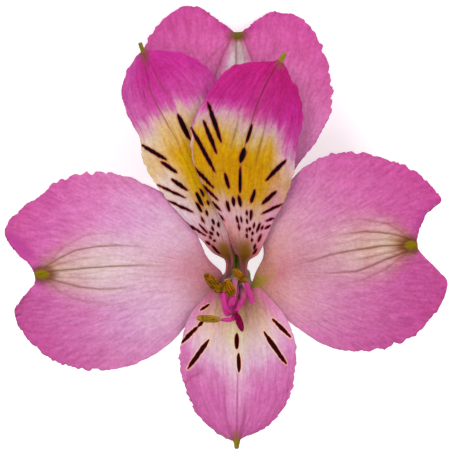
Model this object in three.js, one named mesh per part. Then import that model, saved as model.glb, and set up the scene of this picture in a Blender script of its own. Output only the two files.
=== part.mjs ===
// One cut bloom of a Peruvian lily, lying face up on a table: six tepals, six stamens, the style,
// the ribbed ovary behind them and a short cut pedicel.
//
// The bloom is first built in its own frame: origin behind the middle of the face, level with the
// top of the ovary, +Z out of the flower's face, +Y towards the uppermost tepal. It is then laid down
// on the hull face that it can rest on.
// Units are millimetres and degrees.
import * as THREE from "three";
import { ConvexHull } from "three/addons/math/ConvexHull.js";

// ---------------------------------------------------------------- driving dimensions
const BLOOM_WIDTH = 80; // across the face, from lobe to lobe of the two side tepals
const CUP_DEPTH = 16; // from the top of the ovary forward to the blades
const TEPAL_THICKNESS = 0.5;
const TEPAL_EDGE_THICKNESS = 0.35;
const FILAMENT_DIAMETER = 0.95;
const STAMEN_REACH = 21; // from the top of the ovary forward to the anthers
const ANTHER_DEPTH = 1.3;
const STYLE_DIAMETER = 0.8;
const STYLE_REACH = 12.5;
const OVARY_DROP = 2.4; // the ovary stands this far below the middle of the face
const OVARY_LENGTH = 8;
const OVARY_WAIST_DIAMETER = 2.6; // where the ovary runs into the pedicel
const OVARY_RIB_HEIGHT = 0.3;
const PEDICEL_DIAMETER = 1.9;
const PEDICEL_LENGTH = 19;
const PEDICEL_BEND = 42; // how far it turns between the ovary and the cut
const PEDICEL_HEADING = 256; // the way it bends, seen from the front, counter-clockwise from +X
const JOIN_GAP = 0.3; // between pieces that have grown together
const RING_GAP = 0.3; // between the rings of filaments and tepals on the ovary

// The drawing that the stations below were set out on, which the sizes above stretch.
const DRAWN_WIDTH = 80;
const DRAWN_DEPTH = 16;
const DRAWN_STAMEN_REACH = 21;

// The rings on the ovary that the stamens, the inner tepals and the outer tepals stand on.
const STAMEN_RING = STYLE_DIAMETER / 2 + RING_GAP + FILAMENT_DIAMETER / 2;
const INNER_RING = STAMEN_RING + FILAMENT_DIAMETER / 2 + RING_GAP + TEPAL_THICKNESS / 2;
const OUTER_RING = INNER_RING + TEPAL_THICKNESS + RING_GAP;
const OVARY_TOP_RADIUS = OUTER_RING + TEPAL_THICKNESS / 2 + RING_GAP;

// ---------------------------------------------------------------- colours
const TEPAL_PINK = new THREE.MeshStandardMaterial({ color: "#cf5ca8", roughness: 0.6, metalness: 0 });
const TEPAL_MAGENTA = new THREE.MeshStandardMaterial({ color: "#c4459a", roughness: 0.6, metalness: 0 });
const FILAMENT_PINK = new THREE.MeshStandardMaterial({ color: "#d0419a", roughness: 0.5, metalness: 0 });
const POLLEN_YELLOW = new THREE.MeshStandardMaterial({ color: "#9b6c14", roughness: 0.9, metalness: 0 });
const UNRIPE_MAROON = new THREE.MeshStandardMaterial({ color: "#6d0a3c", roughness: 0.6, metalness: 0 });
const STEM_GREEN = new THREE.MeshStandardMaterial({ color: "#6f8f3a", roughness: 0.6, metalness: 0 });

const radians = THREE.MathUtils.degToRad;

// A point on one of the ovary's rings.
function onRing(radius, degrees, z = JOIN_GAP) {
  const [across, up] = [radius * Math.cos(radians(degrees)), radius * Math.sin(radians(degrees))];
  return new THREE.Vector3(across, up - OVARY_DROP, z);
}

// ---------------------------------------------------------------- tepals
// A tepal is a thin blade drawn by three curves: its left margin, its midrib and its right margin,
// as seen by someone who stands on the ovary and looks out along it. Each station holds one point
// of each curve. The first station stands on the ovary, at three angles of the ring.
const TEPAL_ACROSS = 10;
const TEPAL_ALONG = 24;

function stretched([x, y, z]) {
  const wider = BLOOM_WIDTH / DRAWN_WIDTH;
  return new THREE.Vector3(x * wider, y * wider, (z * CUP_DEPTH) / DRAWN_DEPTH);
}

function curveThrough(points) {
  return new THREE.CatmullRomCurve3(points, false, "catmullrom", 0.5);
}

// The three curves of a tepal, from its ring angles and its stations.
function tepalCurves(ring, angles, stations) {
  return [0, 1, 2].map((side) =>
    curveThrough([
      onRing(ring, angles[side], JOIN_GAP + TEPAL_THICKNESS / 2),
      ...stations.map((station) => stretched(station[side])),
    ]),
  );
}

// The blade's middle surface: a parabola through left margin, midrib and right margin.
function bladePoint(curves, across, along) {
  const [left, rib, right] = curves.map((curve) => curve.getPoint(THREE.MathUtils.clamp(along, 0, 1)));
  return new THREE.Vector3()
    .addScaledVector(left, (across * across - across) / 2)
    .addScaledVector(rib, 1 - across * across)
    .addScaledVector(right, (across * across + across) / 2);
}

function bladeNormal(curves, across, along) {
  const step = 0.01;
  const sideways = bladePoint(curves, across + step, along).sub(bladePoint(curves, across - step, along));
  const lengthways = bladePoint(curves, across, along + step).sub(bladePoint(curves, across, along - step));
  return sideways.cross(lengthways).normalize();
}

function tepal(name, material, ring, angles, stations) {
  const curves = tepalCurves(ring, angles, stations);
  const geometry = new THREE.BoxGeometry(2, 1, 1, TEPAL_ACROSS, TEPAL_ALONG, 1);
  const position = geometry.getAttribute("position");
  for (let i = 0; i < position.count; i++) {
    const across = position.getX(i);
    const along = position.getY(i) + 0.5;
    const thickness = THREE.MathUtils.lerp(TEPAL_THICKNESS, TEPAL_EDGE_THICKNESS, across ** 4);
    const point = bladePoint(curves, across, along);
    point.addScaledVector(bladeNormal(curves, across, along), position.getZ(i) * thickness);
    position.setXYZ(i, point.x, point.y, point.z);
  }
  geometry.computeVertexNormals();
  const mesh = new THREE.Mesh(geometry, material);
  mesh.name = name;
  return mesh;
}

// The uppermost outer tepal stands behind the two upper inner ones. Its two lobes roll back.
const OUTER_TOP = [
  [[-1.9, 3.1, 2.5], [0.1, 4.1, 2.1], [2.1, 3.0, 2.5]],
  [[-3.2, 5.8, 5.4], [0.1, 7.2, 4.8], [3.3, 5.8, 5.4]],
  [[-6.6, 11.5, 8.2], [0.2, 12.6, 7.8], [6.6, 11.5, 8.2]],
  [[-10.0, 17.2, 9.2], [0.3, 16.8, 9.2], [10.2, 18.0, 9.2]],
  [[-13.4, 23.0, 9.6], [0.3, 20.8, 9.9], [14.0, 23.0, 9.6]],
  [[-16.2, 28.5, 9.2], [0.3, 24.6, 10.3], [16.9, 28.3, 9.2]],
  [[-17.3, 34.5, 8.0], [0.3, 28.8, 10.2], [17.4, 33.2, 8.2]],
  [[-16.9, 39.8, 6.6], [0.3, 32.6, 9.8], [16.2, 38.8, 6.8]],
  [[-14.4, 44.4, 4.9], [0.3, 36.0, 9.2], [14.3, 43.4, 5.2]],
  [[-10.6, 47.7, 3.4], [0.3, 38.6, 8.6], [10.6, 46.8, 3.6]],
  [[-7.2, 48.3, 3.4], [0.3, 40.6, 8.0], [6.8, 47.4, 3.6]],
  [[-4.0, 46.3, 4.9], [0.3, 42.0, 7.5], [3.8, 45.6, 5.0]],
  [[-2.0, 44.2, 5.9], [0.3, 42.9, 7.0], [2.3, 44.0, 5.9]],
  [[-0.4, 43.3, 6.4], [0.3, 43.3, 6.6], [1.0, 43.3, 6.4]],
];

// The left outer tepal: its lower margin is on its left, and passes behind the lowest tepal.
const OUTER_LEFT = [
  [[-2.0, -5.0, 3.2], [-3.8, -2.4, 3.2], [-2.5, -0.3, 3.5]],
  [[-4.0, -5.8, 5.4], [-6.2, -1.2, 6.4], [-5.2, 2.5, 6.6]],
  [[-6.6, -7.2, 7.2], [-9.0, 0.3, 9.0], [-6.5, 5.4, 8.6]],
  [[-9.0, -9.6, 8.6], [-11.8, 1.0, 11.2], [-8.3, 9.0, 10.0]],
  [[-12.4, -13.1, 9.8], [-14.8, 1.4, 12.8], [-11.3, 12.7, 11.0]],
  [[-16.8, -15.9, 10.7], [-18.0, 1.3, 14.0], [-15.6, 15.5, 11.8]],
  [[-21.8, -17.4, 11.2], [-21.2, 1.1, 14.8], [-20.6, 17.4, 12.4]],
  [[-27.2, -17.4, 11.4], [-24.4, 0.9, 15.2], [-26.2, 17.7, 12.6]],
  [[-32.2, -16.2, 11.0], [-27.4, 0.7, 15.3], [-31.4, 16.5, 12.3]],
  [[-36.4, -13.2, 10.4], [-30.0, 0.5, 15.1], [-36.0, 13.4, 11.8]],
  [[-39.2, -10.0, 10.2], [-32.0, 0.2, 14.7], [-40.0, 10.2, 11.2]],
  [[-39.8, -6.8, 10.8], [-33.6, 0.0, 14.3], [-41.6, 6.8, 11.4]],
  [[-38.0, -4.3, 12.0], [-34.6, -0.1, 13.9], [-39.6, 3.7, 12.3]],
  [[-36.2, -2.5, 12.8], [-35.3, -0.3, 13.6], [-37.6, 2.0, 12.9]],
  [[-35.8, -1.0, 13.2], [-36.1, -0.5, 13.4], [-36.0, 0.0, 13.2]],
];

// The right outer tepal: its upper margin is on its left, and passes behind the upper right tepal.
const OUTER_RIGHT = [
  [[3.7, 0.0, 3.6], [4.2, -2.5, 3.2], [2.1, -5.0, 3.2]],
  [[5.0, 2.8, 6.7], [6.4, -1.1, 6.5], [4.2, -5.6, 5.4]],
  [[5.0, 6.2, 8.8], [9.0, 0.4, 9.2], [6.4, -6.8, 7.0]],
  [[6.4, 10.4, 10.4], [11.8, 1.6, 11.2], [8.9, -8.3, 8.4]],
  [[8.6, 14.8, 11.6], [14.6, 2.5, 13.0], [12.2, -10.6, 9.6]],
  [[12.2, 18.8, 12.6], [17.6, 3.3, 14.4], [16.4, -13.2, 10.7]],
  [[17.4, 21.2, 13.2], [20.6, 4.0, 15.3], [21.0, -14.1, 11.4]],
  [[22.8, 21.3, 13.4], [23.3, 4.5, 15.7], [25.8, -13.7, 11.5]],
  [[28.2, 19.9, 13.0], [25.7, 4.8, 15.8], [30.4, -12.0, 11.2]],
  [[32.8, 17.6, 12.6], [27.6, 4.9, 15.6], [34.4, -9.0, 10.9]],
  [[36.2, 14.2, 12.3], [29.2, 5.0, 15.3], [37.1, -5.2, 10.8]],
  [[36.7, 12.6, 12.4], [30.4, 4.9, 15.0], [38.0, -1.9, 11.3]],
  [[34.5, 11.6, 13.1], [31.3, 4.9, 14.6], [36.9, -0.4, 12.1]],
  [[33.1, 8.8, 13.7], [31.9, 4.8, 14.3], [34.6, 2.0, 13.1]],
  [[32.1, 5.6, 14.0], [32.4, 4.7, 14.0], [32.2, 4.1, 14.0]],
];

// The lowest inner tepal, which is flat and pointed and lies in front of both side tepals.
const INNER_LOWER = [
  [[2.3, -3.5, 4.2], [0, -5.4, 3.5], [-2.3, -3.5, 4.2]],
  [[4.2, -3.0, 6.8], [0.1, -6.2, 6.2], [-4.2, -3.4, 6.8]],
  [[6.4, -5.0, 9.0], [0.1, -8.2, 8.4], [-6.4, -5.4, 9.0]],
  [[8.6, -7.6, 10.4], [0.1, -10.6, 10.2], [-8.5, -8.2, 10.4]],
  [[10.2, -11.0, 11.3], [0.2, -13.6, 11.4], [-9.6, -11.6, 11.3]],
  [[10.8, -14.8, 11.5], [0.3, -16.8, 12.0], [-10.1, -15.2, 11.5]],
  [[10.4, -18.6, 11.2], [0.3, -20.0, 12.3], [-9.7, -18.6, 11.2]],
  [[9.7, -22.2, 10.6], [0.3, -23.0, 12.2], [-8.8, -22.0, 10.6]],
  [[7.8, -25.6, 10.0], [0.2, -25.8, 11.8], [-7.2, -25.4, 10.0]],
  [[5.0, -28.0, 9.8], [0.2, -28.0, 11.3], [-4.8, -28.1, 9.8]],
  [[2.2, -29.5, 9.9], [0.1, -29.4, 10.8], [-2.2, -29.7, 9.9]],
  [[0.5, -30.1, 10.0], [0.1, -30.4, 10.3], [-0.5, -30.2, 10.0]],
  [[0.3, -31.7, 10.0], [0.1, -31.9, 10.1], [-0.1, -31.7, 10.0]],
];

// The upper left inner tepal: a gutter at its foot, then a broad blade under its right neighbour.
const INNER_LEFT = [
  [[-1.8, 2.0, 4.2], [-1.3, 2.5, 3.3], [-0.7, 2.4, 4.4]],
  [[-4.2, 3.6, 7.8], [-2.3, 3.9, 6.0], [-1.0, 4.4, 8.0]],
  [[-5.9, 5.6, 10.0], [-3.2, 6.6, 8.6], [-1.4, 7.4, 10.2]],
  [[-8.6, 8.7, 11.6], [-4.5, 10.2, 10.8], [-2.2, 11.4, 11.4]],
  [[-11.8, 12.3, 12.8], [-5.9, 14.0, 12.6], [-3.4, 15.4, 12.0]],
  [[-14.6, 16.2, 13.6], [-7.4, 17.8, 13.9], [-4.2, 19.2, 12.5]],
  [[-16.8, 20.2, 14.0], [-9.2, 21.6, 14.8], [-4.0, 23.0, 12.8]],
  [[-17.3, 24.2, 14.0], [-11.0, 25.4, 15.2], [-3.2, 26.8, 12.8]],
  [[-19.3, 28.0, 13.6], [-12.7, 28.8, 15.3], [-2.6, 30.6, 12.6]],
  [[-20.5, 32.0, 13.2], [-14.2, 32.2, 15.1], [-3.4, 34.2, 12.5]],
  [[-19.8, 35.5, 13.2], [-15.3, 35.2, 14.8], [-5.8, 37.3, 12.7]],
  [[-18.6, 37.4, 13.4], [-16.0, 37.4, 14.5], [-9.6, 39.4, 12.9]],
  [[-17.6, 38.7, 13.6], [-16.5, 39.0, 14.2], [-13.6, 39.9, 13.2]],
  [[-16.9, 39.4, 13.7], [-16.6, 39.7, 13.9], [-16.2, 39.8, 13.7]],
  [[-17.4, 41.1, 13.6], [-17.3, 41.2, 13.7], [-17.1, 41.2, 13.6]],
];

// The upper right inner tepal lies in front of the left one.
const INNER_RIGHT = [
  [[0.7, 2.4, 4.8], [1.4, 2.3, 3.5], [2.1, 1.8, 4.4]],
  [[-0.2, 3.7, 8.4], [1.7, 3.6, 6.4], [3.9, 3.2, 7.8]],
  [[-1.2, 6.2, 11.2], [1.5, 6.2, 9.4], [5.3, 6.0, 10.6]],
  [[-2.4, 9.2, 13.0], [1.2, 9.6, 11.8], [6.9, 9.6, 12.4]],
  [[-4.4, 13.0, 14.6], [0.7, 13.2, 13.6], [8.8, 13.2, 13.6]],
  [[-6.4, 16.6, 16.0], [0.7, 16.8, 15.0], [10.0, 16.8, 14.2]],
  [[-7.8, 20.2, 17.0], [1.1, 20.4, 16.0], [10.7, 20.2, 14.4]],
  [[-8.1, 23.8, 17.4], [1.9, 23.8, 16.6], [10.9, 23.4, 14.4]],
  [[-7.6, 27.4, 17.2], [2.9, 27.2, 16.9], [11.9, 27.0, 14.4]],
  [[-5.6, 31.0, 16.8], [4.1, 30.4, 16.8], [11.7, 30.2, 14.3]],
  [[-3.2, 34.4, 16.0], [5.3, 33.2, 16.6], [10.8, 33.0, 14.4]],
  [[-0.4, 37.0, 15.4], [6.3, 35.4, 16.2], [9.6, 34.8, 14.7]],
  [[3.6, 37.6, 15.1], [7.1, 36.9, 15.8], [8.9, 36.2, 15.0]],
  [[7.3, 37.8, 15.2], [7.8, 37.8, 15.4], [8.2, 37.4, 15.2]],
  [[8.5, 39.2, 15.2], [8.7, 39.3, 15.3], [8.9, 39.1, 15.2]],
];

const tepals = [
  tepal("outer_tepal_top", TEPAL_PINK, OUTER_RING, [110, 90, 70], OUTER_TOP),
  tepal("outer_tepal_left", TEPAL_PINK, OUTER_RING, [248, 212, 176], OUTER_LEFT),
  tepal("outer_tepal_right", TEPAL_PINK, OUTER_RING, [-2, -32, -68], OUTER_RIGHT),
  tepal("inner_tepal_lower", TEPAL_PINK, INNER_RING, [305, 270, 235], INNER_LOWER),
  tepal("inner_tepal_upper_left", TEPAL_MAGENTA, INNER_RING, [150, 130, 110], INNER_LEFT),
  tepal("inner_tepal_upper_right", TEPAL_MAGENTA, INNER_RING, [70, 50, 30], INNER_RIGHT),
];

// ---------------------------------------------------------------- stamens and style
// A round tube along a curve, closed at both ends.
const TUBE_SIDES = 8;
const TUBE_STEPS = 14;

function tube(name, material, diameter, points) {
  const section = new THREE.Shape(
    Array.from({ length: TUBE_SIDES }, (_, i) => {
      const angle = (2 * Math.PI * i) / TUBE_SIDES;
      return new THREE.Vector2((diameter / 2) * Math.cos(angle), (diameter / 2) * Math.sin(angle));
    }),
  );
  const extrudePath = curveThrough(points);
  const mesh = new THREE.Mesh(
    new THREE.ExtrudeGeometry(section, { steps: TUBE_STEPS, bevelEnabled: false, extrudePath }),
    material,
  );
  mesh.name = name;
  return mesh;
}

// An anther is a four-lobed grain that carries on from the tip of its filament.
function anther(name, material, length, width, tip, towards) {
  const direction = new THREE.Vector3(...towards).normalize();
  const geometry = new THREE.SphereGeometry(1, 12, 8);
  const position = geometry.getAttribute("position");
  for (let i = 0; i < position.count; i++) {
    const [x, y, z] = [position.getX(i), position.getY(i), position.getZ(i)];
    const lobe = 1 + 0.08 * Math.cos(4 * Math.atan2(z, x));
    position.setXYZ(i, (x * lobe * width) / 2, (y * length) / 2, (z * lobe * ANTHER_DEPTH) / 2);
  }
  const mesh = new THREE.Mesh(geometry, material);
  mesh.name = name;
  mesh.quaternion.setFromUnitVectors(new THREE.Vector3(0, 1, 0), direction);
  mesh.position.copy(tip).addScaledVector(direction, JOIN_GAP + length / 2);
  return mesh;
}

// A filament leaves its place on the ring, droops towards the lowest tepal, and turns up to its
// anther. `path` lists the points after the ring, and `towards` is the way that the anther points.
const STAMENS = [
  {
    name: "upper_left",
    ring: 210,
    path: [[-1.2, -3.2, 6], [-1.5, -5.5, 11], [-1.4, -7.4, 15.2], [-1.9, -6.3, 17.6], [-2.2, -3.6, 19]],
    anther: { length: 4.6, width: 1.8, towards: [-0.69, 0.69, 0.2] },
  },
  {
    name: "upper_middle",
    ring: 90,
    path: [[-0.3, -2.0, 6], [-0.5, -3.7, 11], [-0.7, -5.2, 15.6], [-0.9, -5.6, 18.4], [-0.6, -4.3, 20.4]],
    anther: { length: 3.6, width: 2.1, towards: [-0.3, 0.75, 0.55] },
  },
  {
    name: "upper_right",
    ring: 30,
    path: [[1.6, -2.3, 6], [2.5, -4.0, 11], [2.9, -5.2, 15.4], [2.7, -4.8, 17.4], [1.8, -1.8, 19.6]],
    anther: { length: 3.6, width: 1.5, towards: [-0.58, 0.62, 0.53] },
  },
  {
    name: "lower_left",
    ring: 270,
    path: [[-0.2, -4.3, 6], [-0.2, -6.9, 11], [-0.3, -8.1, 15], [-1.1, -8.4, 17.2], [-2.5, -8.4, 18.2]],
    anther: { length: 4.3, width: 1.4, towards: [-1, 0.08, 0.08] },
  },
  {
    name: "lower_middle",
    ring: 330,
    path: [[1.2, -3.7, 6], [1.3, -4.8, 11], [0.8, -5.5, 14.4], [0.3, -6.1, 16.3], [-0.1, -6.8, 17.2]],
    anther: { length: 3.8, width: 1.3, towards: [0.3, -0.9, 0.3], material: UNRIPE_MAROON },
  },
  {
    name: "hindmost",
    ring: 150,
    path: [[-1.6, -1.7, 6], [-2.0, -3.4, 11], [-2.2, -4.5, 14.2], [-2.6, -3.7, 15.4]],
    anther: { length: 3.6, width: 1.7, towards: [-0.66, 0.7, 0.3] },
  },
];

function stamenPoint([x, y, z]) {
  return new THREE.Vector3(x, y, (z * STAMEN_REACH) / DRAWN_STAMEN_REACH);
}

const stamens = STAMENS.flatMap((stamen) => {
  const points = [onRing(STAMEN_RING, stamen.ring), ...stamen.path.map(stamenPoint)];
  const { length, width, towards, material = POLLEN_YELLOW } = stamen.anther;
  return [
    tube(`filament_${stamen.name}`, FILAMENT_PINK, FILAMENT_DIAMETER, points),
    anther(`anther_${stamen.name}`, material, length, width, points[points.length - 1], towards),
  ];
});

const STYLE_PATH = [[0.2, -3.2, 6], [0.0, -4.7, 10], [-0.1, -5.4, STYLE_REACH]];
const style = tube("style", FILAMENT_PINK, STYLE_DIAMETER, [
  onRing(0, 0),
  ...STYLE_PATH.map((point) => new THREE.Vector3(...point)),
]);

// ---------------------------------------------------------------- ovary and pedicel
// The ovary is a ribbed top: flat where the tepals stand, narrow where the pedicel takes over.
const OVARY_RIBS = 6;
const OVARY_SIDES = 24;
const OVARY_PROFILE = [
  // share of the length below the top, share of the way from the waist's radius to the top's
  [0, 0.94],
  [0.08, 1],
  [0.3, 1],
  [0.55, 0.78],
  [0.8, 0.36],
  [1, 0],
];

function ovary() {
  const waist = OVARY_WAIST_DIAMETER / 2;
  const rings = OVARY_PROFILE.map(([down, out]) => {
    const radius = THREE.MathUtils.lerp(waist, OVARY_TOP_RADIUS, out);
    return new THREE.Vector2(radius, -down * OVARY_LENGTH);
  });
  const outline = [new THREE.Vector2(0, -OVARY_LENGTH), ...rings.reverse(), new THREE.Vector2(0, 0)];
  const geometry = new THREE.LatheGeometry(outline, OVARY_SIDES);
  const position = geometry.getAttribute("position");
  for (let i = 0; i < position.count; i++) {
    const [x, z] = [position.getX(i), position.getZ(i)];
    const radius = Math.hypot(x, z);
    const share = radius / OVARY_TOP_RADIUS;
    const rib = OVARY_RIB_HEIGHT * share * share * (Math.cos(OVARY_RIBS * Math.atan2(z, x)) - 1);
    const grown = radius > 0 ? (radius + rib) / radius : 1;
    position.setXYZ(i, x * grown, position.getY(i), z * grown);
  }
  geometry.rotateX(Math.PI / 2); // the lathe turns about Y, and the bloom's axis is Z
  geometry.translate(0, -OVARY_DROP, 0);
  geometry.computeVertexNormals();
  const mesh = new THREE.Mesh(geometry, STEM_GREEN);
  mesh.name = "ovary";
  return mesh;
}

// The pedicel leaves the ovary along the bloom's axis and bends evenly to its cut end.
const PEDICEL_POINTS = 9;

function pedicelPath() {
  const bearing = radians(PEDICEL_HEADING);
  const sideways = new THREE.Vector3(Math.cos(bearing), Math.sin(bearing), 0);
  const step = PEDICEL_LENGTH / (PEDICEL_POINTS - 1);
  const points = [onRing(0, 0, -OVARY_LENGTH - JOIN_GAP)];
  for (let i = 1; i < PEDICEL_POINTS; i++) {
    const turned = radians((PEDICEL_BEND * (i - 0.5)) / (PEDICEL_POINTS - 1));
    const heading = sideways.clone().multiplyScalar(Math.sin(turned));
    heading.z = -Math.cos(turned);
    points.push(points[i - 1].clone().addScaledVector(heading, step));
  }
  return points;
}

const pedicel = tube("pedicel", STEM_GREEN, PEDICEL_DIAMETER, pedicelPath());

// ---------------------------------------------------------------- laid on the table
const bloom = new THREE.Group();
bloom.add(...tepals, ...stamens, style, ovary(), pedicel);
bloom.updateMatrixWorld(true);

function worldPoints(mesh) {
  const position = mesh.geometry.getAttribute("position");
  return Array.from({ length: position.count }, (_, i) =>
    new THREE.Vector3().fromBufferAttribute(position, i).applyMatrix4(mesh.matrixWorld),
  );
}

// The centre of mass of the whole bloom, all of one density.
function centreOfMass(meshes) {
  const sum = new THREE.Vector3();
  let volume = 0;
  for (const mesh of meshes) {
    const points = worldPoints(mesh);
    const index = mesh.geometry.index;
    const count = index ? index.count : points.length;
    const corner = (i) => points[index ? index.getX(i) : i];
    for (let i = 0; i < count; i += 3) {
      const [a, b, c] = [corner(i), corner(i + 1), corner(i + 2)];
      const part = a.dot(b.clone().cross(c)) / 6;
      sum.addScaledVector(a, part / 4).addScaledVector(b, part / 4).addScaledVector(c, part / 4);
      volume += part;
    }
  }
  return sum.divideScalar(volume);
}

// Whether the foot of a perpendicular from a point to a hull face lies inside that face.
function standsOn(face, point) {
  const foot = point.clone().addScaledVector(face.normal, -face.distanceToPoint(point));
  let edge = face.edge;
  do {
    const [from, to] = [edge.tail().point, edge.head().point];
    const inwards = face.normal.clone().cross(to.clone().sub(from));
    if (inwards.dot(foot.clone().sub(from)) < 0) return false;
    edge = edge.next;
  } while (edge !== face.edge);
  return true;
}

// The face of the convex hull, among those that carry the centre of mass, that keeps the flower
// closest to face up.
function restingFace(meshes) {
  const hull = new ConvexHull().setFromPoints(meshes.flatMap(worldPoints));
  const centre = centreOfMass(meshes);
  const faces = hull.faces.filter((face) => standsOn(face, centre));
  return faces.sort((a, b) => a.normal.z - b.normal.z)[0];
}

// The turn that sets the resting face on the table and leaves the uppermost tepal towards +Y.
function layDown(group) {
  const face = restingFace(group.children);
  const down = new THREE.Vector3(0, 0, -1);
  group.quaternion.setFromUnitVectors(face.normal, down);
  const top = new THREE.Vector3(0, 1, 0).applyQuaternion(group.quaternion);
  const turn = Math.PI / 2 - Math.atan2(top.y, top.x);
  group.quaternion.premultiply(new THREE.Quaternion().setFromAxisAngle(new THREE.Vector3(0, 0, 1), turn));
  group.updateMatrixWorld(true);
  const box = new THREE.Box3().setFromPoints(group.children.flatMap(worldPoints));
  const middle = box.getCenter(new THREE.Vector3());
  group.position.set(-middle.x, -middle.y, -box.min.z);
}

layDown(bloom);

const part = new THREE.Group();
part.add(bloom);
export default part;
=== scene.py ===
import math

import bmesh
import bpy
import numpy as np
from mathutils import Matrix, Vector, noise


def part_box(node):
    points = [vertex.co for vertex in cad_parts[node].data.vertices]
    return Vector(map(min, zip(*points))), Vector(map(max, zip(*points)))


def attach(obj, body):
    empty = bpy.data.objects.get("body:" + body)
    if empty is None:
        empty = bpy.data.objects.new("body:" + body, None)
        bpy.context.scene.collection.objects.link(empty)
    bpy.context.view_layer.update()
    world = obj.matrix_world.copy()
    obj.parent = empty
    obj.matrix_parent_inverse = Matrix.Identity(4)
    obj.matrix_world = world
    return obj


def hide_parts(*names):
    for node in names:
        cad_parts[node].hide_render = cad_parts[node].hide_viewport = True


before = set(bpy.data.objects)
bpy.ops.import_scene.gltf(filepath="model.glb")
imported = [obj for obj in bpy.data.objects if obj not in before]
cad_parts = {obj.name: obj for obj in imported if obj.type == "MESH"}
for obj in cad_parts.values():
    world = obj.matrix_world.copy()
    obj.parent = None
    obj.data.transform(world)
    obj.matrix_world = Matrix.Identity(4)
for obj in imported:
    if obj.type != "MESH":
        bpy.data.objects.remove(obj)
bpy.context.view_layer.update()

# ---------------------------------------------------------------- camera, floor and light
# The bloom lies face up, so the camera looks down along the flower's own axis, with the uppermost
# tepal towards the top of the picture. The anthers' middles, known in the bloom's own frame and on
# the model as it lies, give the turn and the shift between the two. Lengths are in millimetres.
MM = 0.001
JOIN_GAP = 0.3
ANTHERS = {
    "upper_left": {"tip": (-2.2, -3.6, 19), "towards": (-0.69, 0.69, 0.2), "length": 4.6, "width": 1.8},
    "upper_middle": {"tip": (-0.6, -4.3, 20.4), "towards": (-0.3, 0.75, 0.55), "length": 3.6, "width": 2.1},
    "upper_right": {"tip": (1.8, -1.8, 19.6), "towards": (-0.58, 0.62, 0.53), "length": 3.6, "width": 1.5},
    "lower_left": {"tip": (-2.5, -8.4, 18.2), "towards": (-1, 0.08, 0.08), "length": 4.3, "width": 1.4},
    "lower_middle": {"tip": (-0.1, -6.8, 17.2), "towards": (0.3, -0.9, 0.3), "length": 3.8, "width": 1.3},
    "hindmost": {"tip": (-2.6, -3.7, 15.4), "towards": (-0.66, 0.7, 0.3), "length": 3.6, "width": 1.7},
}


def unit(v):
    return v / np.linalg.norm(v, axis=-1, keepdims=True)


def anther_middle(anther):
    """An anther starts one gap past its filament's tip and points the way that `towards` gives."""
    ahead = unit(np.array(anther["towards"], float))
    return np.array(anther["tip"]) + (JOIN_GAP + anther["length"] / 2) * ahead


def bloom_turn_and_shift():
    """Matches the anthers' middles in the two frames (least squares, by singular values)."""
    own, laid = [], []
    for name, anther in ANTHERS.items():
        own.append(anther_middle(anther))
        low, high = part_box(f"anther_{name}")
        laid.append(np.array((low + high) / 2) / MM)
    own, laid = np.array(own), np.array(laid)
    u, _, vt = np.linalg.svd((own - own.mean(0)).T @ (laid - laid.mean(0)))
    turn = (u @ np.diag([1, 1, np.linalg.det(u @ vt)]) @ vt).T
    return turn, laid.mean(0) - turn @ own.mean(0)


TURN, SHIFT = bloom_turn_and_shift()


def as_laid(points):
    """Points of the bloom's own frame, in millimetres, as metres where the bloom lies."""
    return (np.asarray(points, float) @ TURN.T + SHIFT) * MM


def aim(obj, spot, target, up):
    """Turns a camera or a light to look from one point at another, all in the bloom's frame."""
    at, to = as_laid(spot), as_laid(target)
    back = unit(at - to)
    side = unit(np.cross(TURN @ np.array(up, float), back))
    turn = np.column_stack([side, np.cross(back, side), back])
    obj.matrix_world = Matrix.LocRotScale(Vector(at), Matrix(turn.tolist()), Vector((1, 1, 1)))


VIEW_WIDTH = 81.0
VIEW_CENTRE = (-2.0, 8.5, 12.0)
VIEW_DISTANCE = 620.0
SENSOR_WIDTH = 36
NEAREST, FARTHEST = 0.01, 10
camera = bpy.data.objects.new("camera", bpy.data.cameras.new("camera"))
bpy.context.scene.collection.objects.link(camera)
camera.data.sensor_width = SENSOR_WIDTH
camera.data.lens = camera.data.sensor_width * VIEW_DISTANCE / VIEW_WIDTH
camera.data.clip_start = NEAREST
camera.data.clip_end = FARTHEST
x, y, z = VIEW_CENTRE
aim(camera, (x, y, z + VIEW_DISTANCE), VIEW_CENTRE, (0, 1, 0))
bpy.context.scene.camera = camera

FLOOR_HALF_WIDTH = 3.0
floor_mesh = bmesh.new()
bmesh.ops.create_grid(floor_mesh, x_segments=1, y_segments=1, size=FLOOR_HALF_WIDTH)
floor = bpy.data.objects.new("floor", bpy.data.meshes.new("floor"))
floor_mesh.to_mesh(floor.data)
floor_mesh.free()
bpy.context.scene.collection.objects.link(floor)
# The paper glows a little of its own, so that it is white without more light on the thin tepals.
PAPER_GREY = 0.94
PAPER_ROUGHNESS = 0.9
PAPER_GLOW = 0.3
WHITE = (1, 1, 1, 1)
paper = bpy.data.materials.new("white paper")
paper.use_nodes = True
sheet = paper.node_tree.nodes["Principled BSDF"]
sheet.inputs["Base Color"].default_value = (PAPER_GREY, PAPER_GREY, PAPER_GREY, 1)
sheet.inputs["Roughness"].default_value = PAPER_ROUGHNESS
sheet.inputs["Emission Color"].default_value = WHITE
sheet.inputs["Emission Strength"].default_value = PAPER_GLOW
floor.data.materials.append(paper)

STUDIO_BRIGHTNESS = 0.72
bpy.context.scene.view_settings.view_transform = "Standard"
world = bpy.data.worlds.new("studio")
bpy.context.scene.world = world
world.use_nodes = True
world.node_tree.nodes["Background"].inputs["Color"].default_value = WHITE
world.node_tree.nodes["Background"].inputs["Strength"].default_value = STUDIO_BRIGHTNESS

LIT_SPOT = (0, 5, 10)
LAMP_UP = (0, 1, 0.01)


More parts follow.
